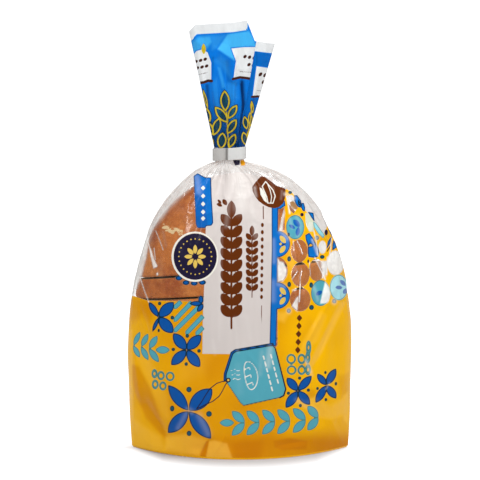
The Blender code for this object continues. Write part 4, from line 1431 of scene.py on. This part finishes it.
def buildTail():
    # the folded grid with its facets, its print, and painted highlights and painted shade where it is folded
    points, at, length = tailGrid()
    u, v = frontView(points)
    front = (at < length[tail["frontEnd"]])[:, None]
    fold = (at > length[tail["foldEnd"]])[:, None] & front
    points[..., 1] -= tents(u, v, tailFacets, 1.0, 0.5) * front
    fields = tailPrint(u, v, at, front, fold)
    # sheen gathers the painted highlights and depth the painted shade of the folds
    sheen, depth = np.zeros(u.shape), np.zeros(u.shape)
    for corners, soft, amount in tailHighlights:
        sheen = np.maximum(sheen, softArea(u, v, corners, soft) * amount * front)
    for line, reach, amount in tailFoldShade:
        depth = np.maximum(depth, softLine(u, v, line, reach) * amount * front)
    printed = np.maximum(fields["panel"], fields["tint"])
    fields["haze"] = np.full(u.shape, 0.5)
    fields["sheen"] = np.where(fold, 0.0, sheen) * (1 - ease(-0.6, 0.0, printed))
    # painted shade: the folds, darker low down towards the neck, and a darker folded ply
    fields["shadeAndBread"] = np.maximum(np.maximum(depth, 0.85 * ease(84, 142, v)), np.where(fold, 0.38, 0.0))
    meshFrom("filmTail", points, gridFaces(len(at), points.shape[1], True), tailFilm, fields)


# The loaf: a heel over slices, all cut from one domed form
loaf = {
    "middle": (-0.0052, 0.001),
    "halfWidth": 0.0495,
    "clearance": 0.0021,  # from the film
    "frontDepth": 0.0355,
    "backDepth": 0.0325,
    "planPowers": (2.3, 2.1),
    "heelStart": 0.085,
    "heelTop": 0.1465,
    "heelCut": (0.0963, 0.096, -0.070),  # height at the middle, and its slopes along x and y
    "baseHeight": 0.0012,
    "slices": 8,
    "sliceGap": 0.0006,
    "sliceShift": -0.0011,
    "cutEdge": 0.018,  # how much narrower a piece is at its cuts
    "sliceColumns": 200,
    "sliceRows": 12,
    "heelColumns": 260,
    "heelRows": 110,
    "lumpSeed": 21,
    "nudgeSeed": 40,
    "tornSeed": 8,
}
cutRings = (0.2, 0.5, 0.8, 0.97)  # shares of the way from a cut face's middle to its edge
tornLip = [(160, 221), (165, 222), (170, 226), (177, 228), (181, 231), (184, 235), (178, 235), (170, 234),
           (164, 230)]


def loafOutline(turn, z):
    # a round-shouldered front and a flatter back, narrowing into the heel's dome, made uneven by noise
    dome = np.clip((z - loaf["heelStart"]) / (loaf["heelTop"] - loaf["heelStart"]), 0, 1)
    width = loaf["halfWidth"] * (1 - dome**2) ** 0.6
    depth = np.where(np.cos(turn) > 0, loaf["frontDepth"], loaf["backDepth"]) * (1 - dome**2.2) ** 0.55
    x, y = superellipse(turn, width, depth, *loaf["planPowers"])
    grow = 1 + 0.05 * (layered(noise, x * 45 + 3, y * 45, z * 30, 3, loaf["lumpSeed"]) - 0.5)
    return loaf["middle"][0] + x * grow, loaf["middle"][1] + y * grow


room = {"heights": 96, "angles": 361, "bottom": 0.0012, "top": 0.1532}


def roomTable():
    # the film's reach from the bag's middle, by height and by angle
    fine = np.linspace(-math.pi, math.pi, 1441)
    angles = np.linspace(-math.pi, math.pi, room["angles"])
    rows = []
    for z in np.linspace(room["bottom"], room["top"], room["heights"]):
        x, y = bodyPlan(fine, np.full_like(fine, z))
        rows.append(np.interp(angles, np.arctan2(x, -y), np.hypot(x, y), period=2 * math.pi))
    return np.array(rows)


def insideFilm(x, y, z):
    # draws points in towards the bag's middle where they would pass the film
    lastRow, lastColumn = room["heights"] - 1, room["angles"] - 1
    row = np.clip((z - room["bottom"]) / (room["top"] - room["bottom"]) * lastRow, 0, lastRow - 0.001)
    column = np.clip((np.arctan2(x, -y) / (2 * math.pi) + 0.5) * lastColumn, 0, lastColumn - 0.001)
    i, j = row.astype(int), column.astype(int)
    low, high = (mix(filmReach[k, j], filmReach[k, j + 1], column - j) for k in (i, i + 1))
    free = mix(low, high, row - i) - loaf["clearance"]
    share = np.minimum(1, np.maximum(free, 0) / np.maximum(np.hypot(x, y), 1e-6))
    return x * share, y * share


def cutHeight(level, x, y):
    # the planes of the cuts: the heel's leans, and lower ones lie flatter
    height, alongX, alongY = loaf["heelCut"]
    share = np.clip(1 - level / loaf["slices"], 0, 1)
    return mix(loaf["baseHeight"], height, share) + (alongX * x + alongY * y) * share**1.6


def fromMiddle(x, y, share):
    # x and y scaled about the loaf's middle
    return tuple(middle + (c - middle) * share for middle, c in zip(loaf["middle"], (x, y)))


def cutFace(edge):
    # rings between a cut face's middle and its edge
    centre = edge.mean(0)
    return [edge * share + centre * (1 - share) for share in cutRings]


def breadPiece(name, rings, crumb, torn=None):
    # closes the rings, from the bottom up, at both ends; crumb says which rings lie on a cut face
    points = np.stack(rings, axis=1)
    columns, rows = points.shape[:2]
    faces = gridFaces(columns, rows, True).tolist()
    faces += [rowOf(columns, rows, 0)[::-1], rowOf(columns, rows, rows - 1)]
    fields = {"crumb": np.broadcast_to(np.array(crumb, float), (columns, rows))}
    if torn:
        fields["torn"] = torn(points)
    meshFrom(name, points, faces, crust, fields)


def buildSlice(index):
    # crust round the side with soft edges, crumb on both cut faces, each slice a little out of line
    turn = np.linspace(-math.pi, math.pi, loaf["sliceColumns"], endpoint=False)[:, None]
    share = np.linspace(0, 1, loaf["sliceRows"])[None, :]
    nudgeX, nudgeY = np.random.default_rng(loaf["nudgeSeed"] + index).uniform(-0.0009, 0.0009, 2)
    x, y = loafOutline(turn, np.full((len(turn), loaf["sliceRows"]), 0.08))
    z = mix(cutHeight(index + 1, x, y) + loaf["sliceGap"], cutHeight(index, x, y) - loaf["sliceGap"], share)
    bulge = 1 - loaf["cutEdge"] * np.abs(2 * share - 1) ** 6
    x, _ = fromMiddle(x, y, bulge * (1 + 0.012 * math.sin(index * 2.1)))
    _, y = fromMiddle(x, y, bulge)
    x = x + nudgeX - 0.0005 * index + loaf["sliceShift"]
    x, y = insideFilm(x, y + nudgeY * 0.5, z - 0.004 * index / loaf["slices"])
    side = np.moveaxis(np.stack([x, y, z], axis=-1), 1, 0)
    rings = [*cutFace(side[0]), *side, *cutFace(side[-1])[::-1]]
    cut = [1] * len(cutRings)
    breadPiece(f"slice{index + 1:02d}", rings, [*cut, *[0] * loaf["sliceRows"], *cut])


def tornField(points):
    # how far inside the ragged torn lip at the front's left shoulder
    u, v = frontView(points)
    ragged = polygon(u, v, tornLip) - 1.3
    ragged += (layered(noise, u / 3.2, v / 1.5, 0 * u, 4, loaf["tornSeed"]) - 0.5) * 13
    return np.where(points[..., 1] < 0, ragged, -5)


def buildHeel():
    # rows from the heel's cut to its top, closer together at the top, drawn in a little at the cut
    turn = np.linspace(-math.pi, math.pi, loaf["heelColumns"], endpoint=False)[:, None]
    share = np.linspace(0, 1, loaf["heelRows"])[None, :] ** 0.9
    low = cutHeight(0, *loafOutline(turn, np.full((len(turn), 1), 0.09))) + loaf["sliceGap"]
    z = low + (loaf["heelTop"] - 0.0002 - low) * np.sin(share * math.pi / 2)
    x, y = loafOutline(np.broadcast_to(turn, z.shape), z)
    tuck = 1 - loaf["cutEdge"] * np.clip(1 - (z - low) / 0.0016, 0, 1) ** 2
    x, y = insideFilm(*fromMiddle(x, y, tuck), z)
    side = np.moveaxis(np.stack([x, y, z], axis=-1), 1, 0)
    crumb = [1] * len(cutRings) + [0] * loaf["heelRows"]
    breadPiece("heel", [*cutFace(side[0]), *side], crumb, tornField)


# Floor, light and camera
studio = {
    "ambient": 0.48,
    "reflected": 0.20,
    "behind": 1.2,
    "floorSize": 8,
    "floor": 0.70,  # as the bag sees it
    "floorSeen": 0.54,
    "nearGlow": 0.0,
    "farGlow": 0.90,
    "shadowReach": 0.045,
    "cornerStart": 0.040,
    "cornerFade": 1.2,
    "footPower": 2.1,
}
# place, width, height and power; all face the bag's middle
softboxes = {
    "keyLight": ((-0.75, -0.9, 0.95), 0.35, 0.5, 5.2),
    "fillLight": ((0.95, -0.8, 0.5), 0.15, 0.6, 3.3),
    "topLight": ((0.1, -0.15, 1.1), 0.6, 0.4, 6.9),
}


def floorMaterial():
    # a glow keeps it white; it grows away from the bag's curved foot, and sooner at its corners; the real
    # shade shows only where the glow is low, so the ramp paints part of the contact shadow
    material, graph, shader = newMaterial("paleFloor")
    place = graph.add("SeparateXYZ", {"Vector": graph.coords()}).outputs
    footWidth, footDepth = bag["width"]["baseHalf"], bag["depth"]["baseHalf"]
    sideways = graph.calc("ABSOLUTE", place["X"])
    share = graph.calc("DIVIDE", sideways, footWidth, clamp=True)
    curve = graph.calc("POWER", share, studio["footPower"])
    foot = graph.calc("MULTIPLY_ADD", curve, -footDepth, footDepth)
    ahead = graph.calc("SUBTRACT", graph.calc("ABSOLUTE", place["Y"]), foot)
    corner = graph.calc("MAXIMUM", graph.calc("SUBTRACT", sideways, studio["cornerStart"]), 0.0)
    away = graph.calc("MULTIPLY_ADD", corner, studio["cornerFade"], ahead)
    # partly painted shadow: the glow fades out towards the foot
    glow = graph.ramp(away, 0.0, studio["shadowReach"], studio["nearGlow"], studio["farGlow"], "SMOOTHSTEP")
    seen = graph.add("LightPath").outputs["Is Camera Ray"]
    tone = graph.calc("MULTIPLY_ADD", seen, studio["floorSeen"] - studio["floor"], studio["floor"])
    grey = graph.add("CombineColor", {"Red": tone, "Green": tone, "Blue": tone}).outputs["Color"]
    graph.feed(shader, {
        "Base Color": grey,
        "Emission Color": (1.0, 1.0, 1.0),
        "Emission Strength": graph.calc("MULTIPLY", seen, glow),
        "Roughness": 0.9,
        "Specular IOR Level": 0.0,
    })
    return material


def buildWorld():
    # white behind the bag, dimmer as a light, and dimmer again in reflections
    world = bpy.data.worlds.new("studio")
    bpy.context.scene.world = world
    world.use_nodes = True
    graph = Graph(world.node_tree)
    rays = graph.add("LightPath").outputs
    whiter = studio["behind"] - studio["ambient"]
    lit = graph.calc("MULTIPLY_ADD", rays["Is Camera Ray"], whiter, studio["ambient"])
    seen = graph.calc("MULTIPLY_ADD", rays["Is Glossy Ray"], studio["reflected"] - studio["ambient"], lit)
    graph.feed(world.node_tree.nodes["Background"].inputs, {"Color": (1.0, 1.0, 1.0), "Strength": seen})


def addViewer(name, data, location, back):
    # a lamp or camera at a place, with its back turned along a direction
    thing = bpy.data.objects.new(name, data)
    thing.location = location
    thing.rotation_mode = "QUATERNION"
    thing.rotation_quaternion = Vector(back).to_track_quat("Z", "Y")
    bpy.context.scene.collection.objects.link(thing)
    return thing


def buildStage():
    # a floor just under the bag, the world, three softboxes, and a camera at the front view's place
    bpy.ops.mesh.primitive_plane_add(size=studio["floorSize"], location=(0, 0, -0.0001))
    floor = bpy.context.object
    floor.name = "floor"
    floor.data.materials.append(floorMaterial())
    buildWorld()
    for name, (location, width, height, power) in softboxes.items():
        light = bpy.data.lights.new(name, "AREA")
        light.shape = "RECTANGLE"
        light.size, light.size_y = width, height
        light.energy = power
        addViewer(name, light, location, Vector(location) - Vector((0, 0, 0.1)))
    lens = bpy.data.cameras.new("camera")
    lens.sensor_width = camera["sensor"]
    lens.lens = camera["sensor"] * camera["distance"] / camera["span"]
    lens.clip_end = 50
    scene = bpy.context.scene
    scene.camera = addViewer("camera", lens, lookFrom, lookBack)
    scene.view_settings.view_transform = "Standard"
    scene.cycles.transparent_max_bounces = 24
    scene.cycles.max_bounces = 10


inkEdge = inkEdgeGroup()
filmCrinkle = crinkleGroup()
bodyFilm = printedFilm("bodyFilm", printColours, 0.0)
tailFilm = printedFilm("tailFilm", tailColours, 1.0)
crust = crustMaterial()
report("materials")
buildBody()
buildTail()
report("tail film")
filmReach = roomTable()
buildHeel()
for index in range(loaf["slices"]):
    buildSlice(index)
report("loaf")
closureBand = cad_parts["closure_band"]
closureBand.data.materials.clear()
closureBand.data.materials.append(bandMaterial())
report("closure band")
buildStage()
report("stage")
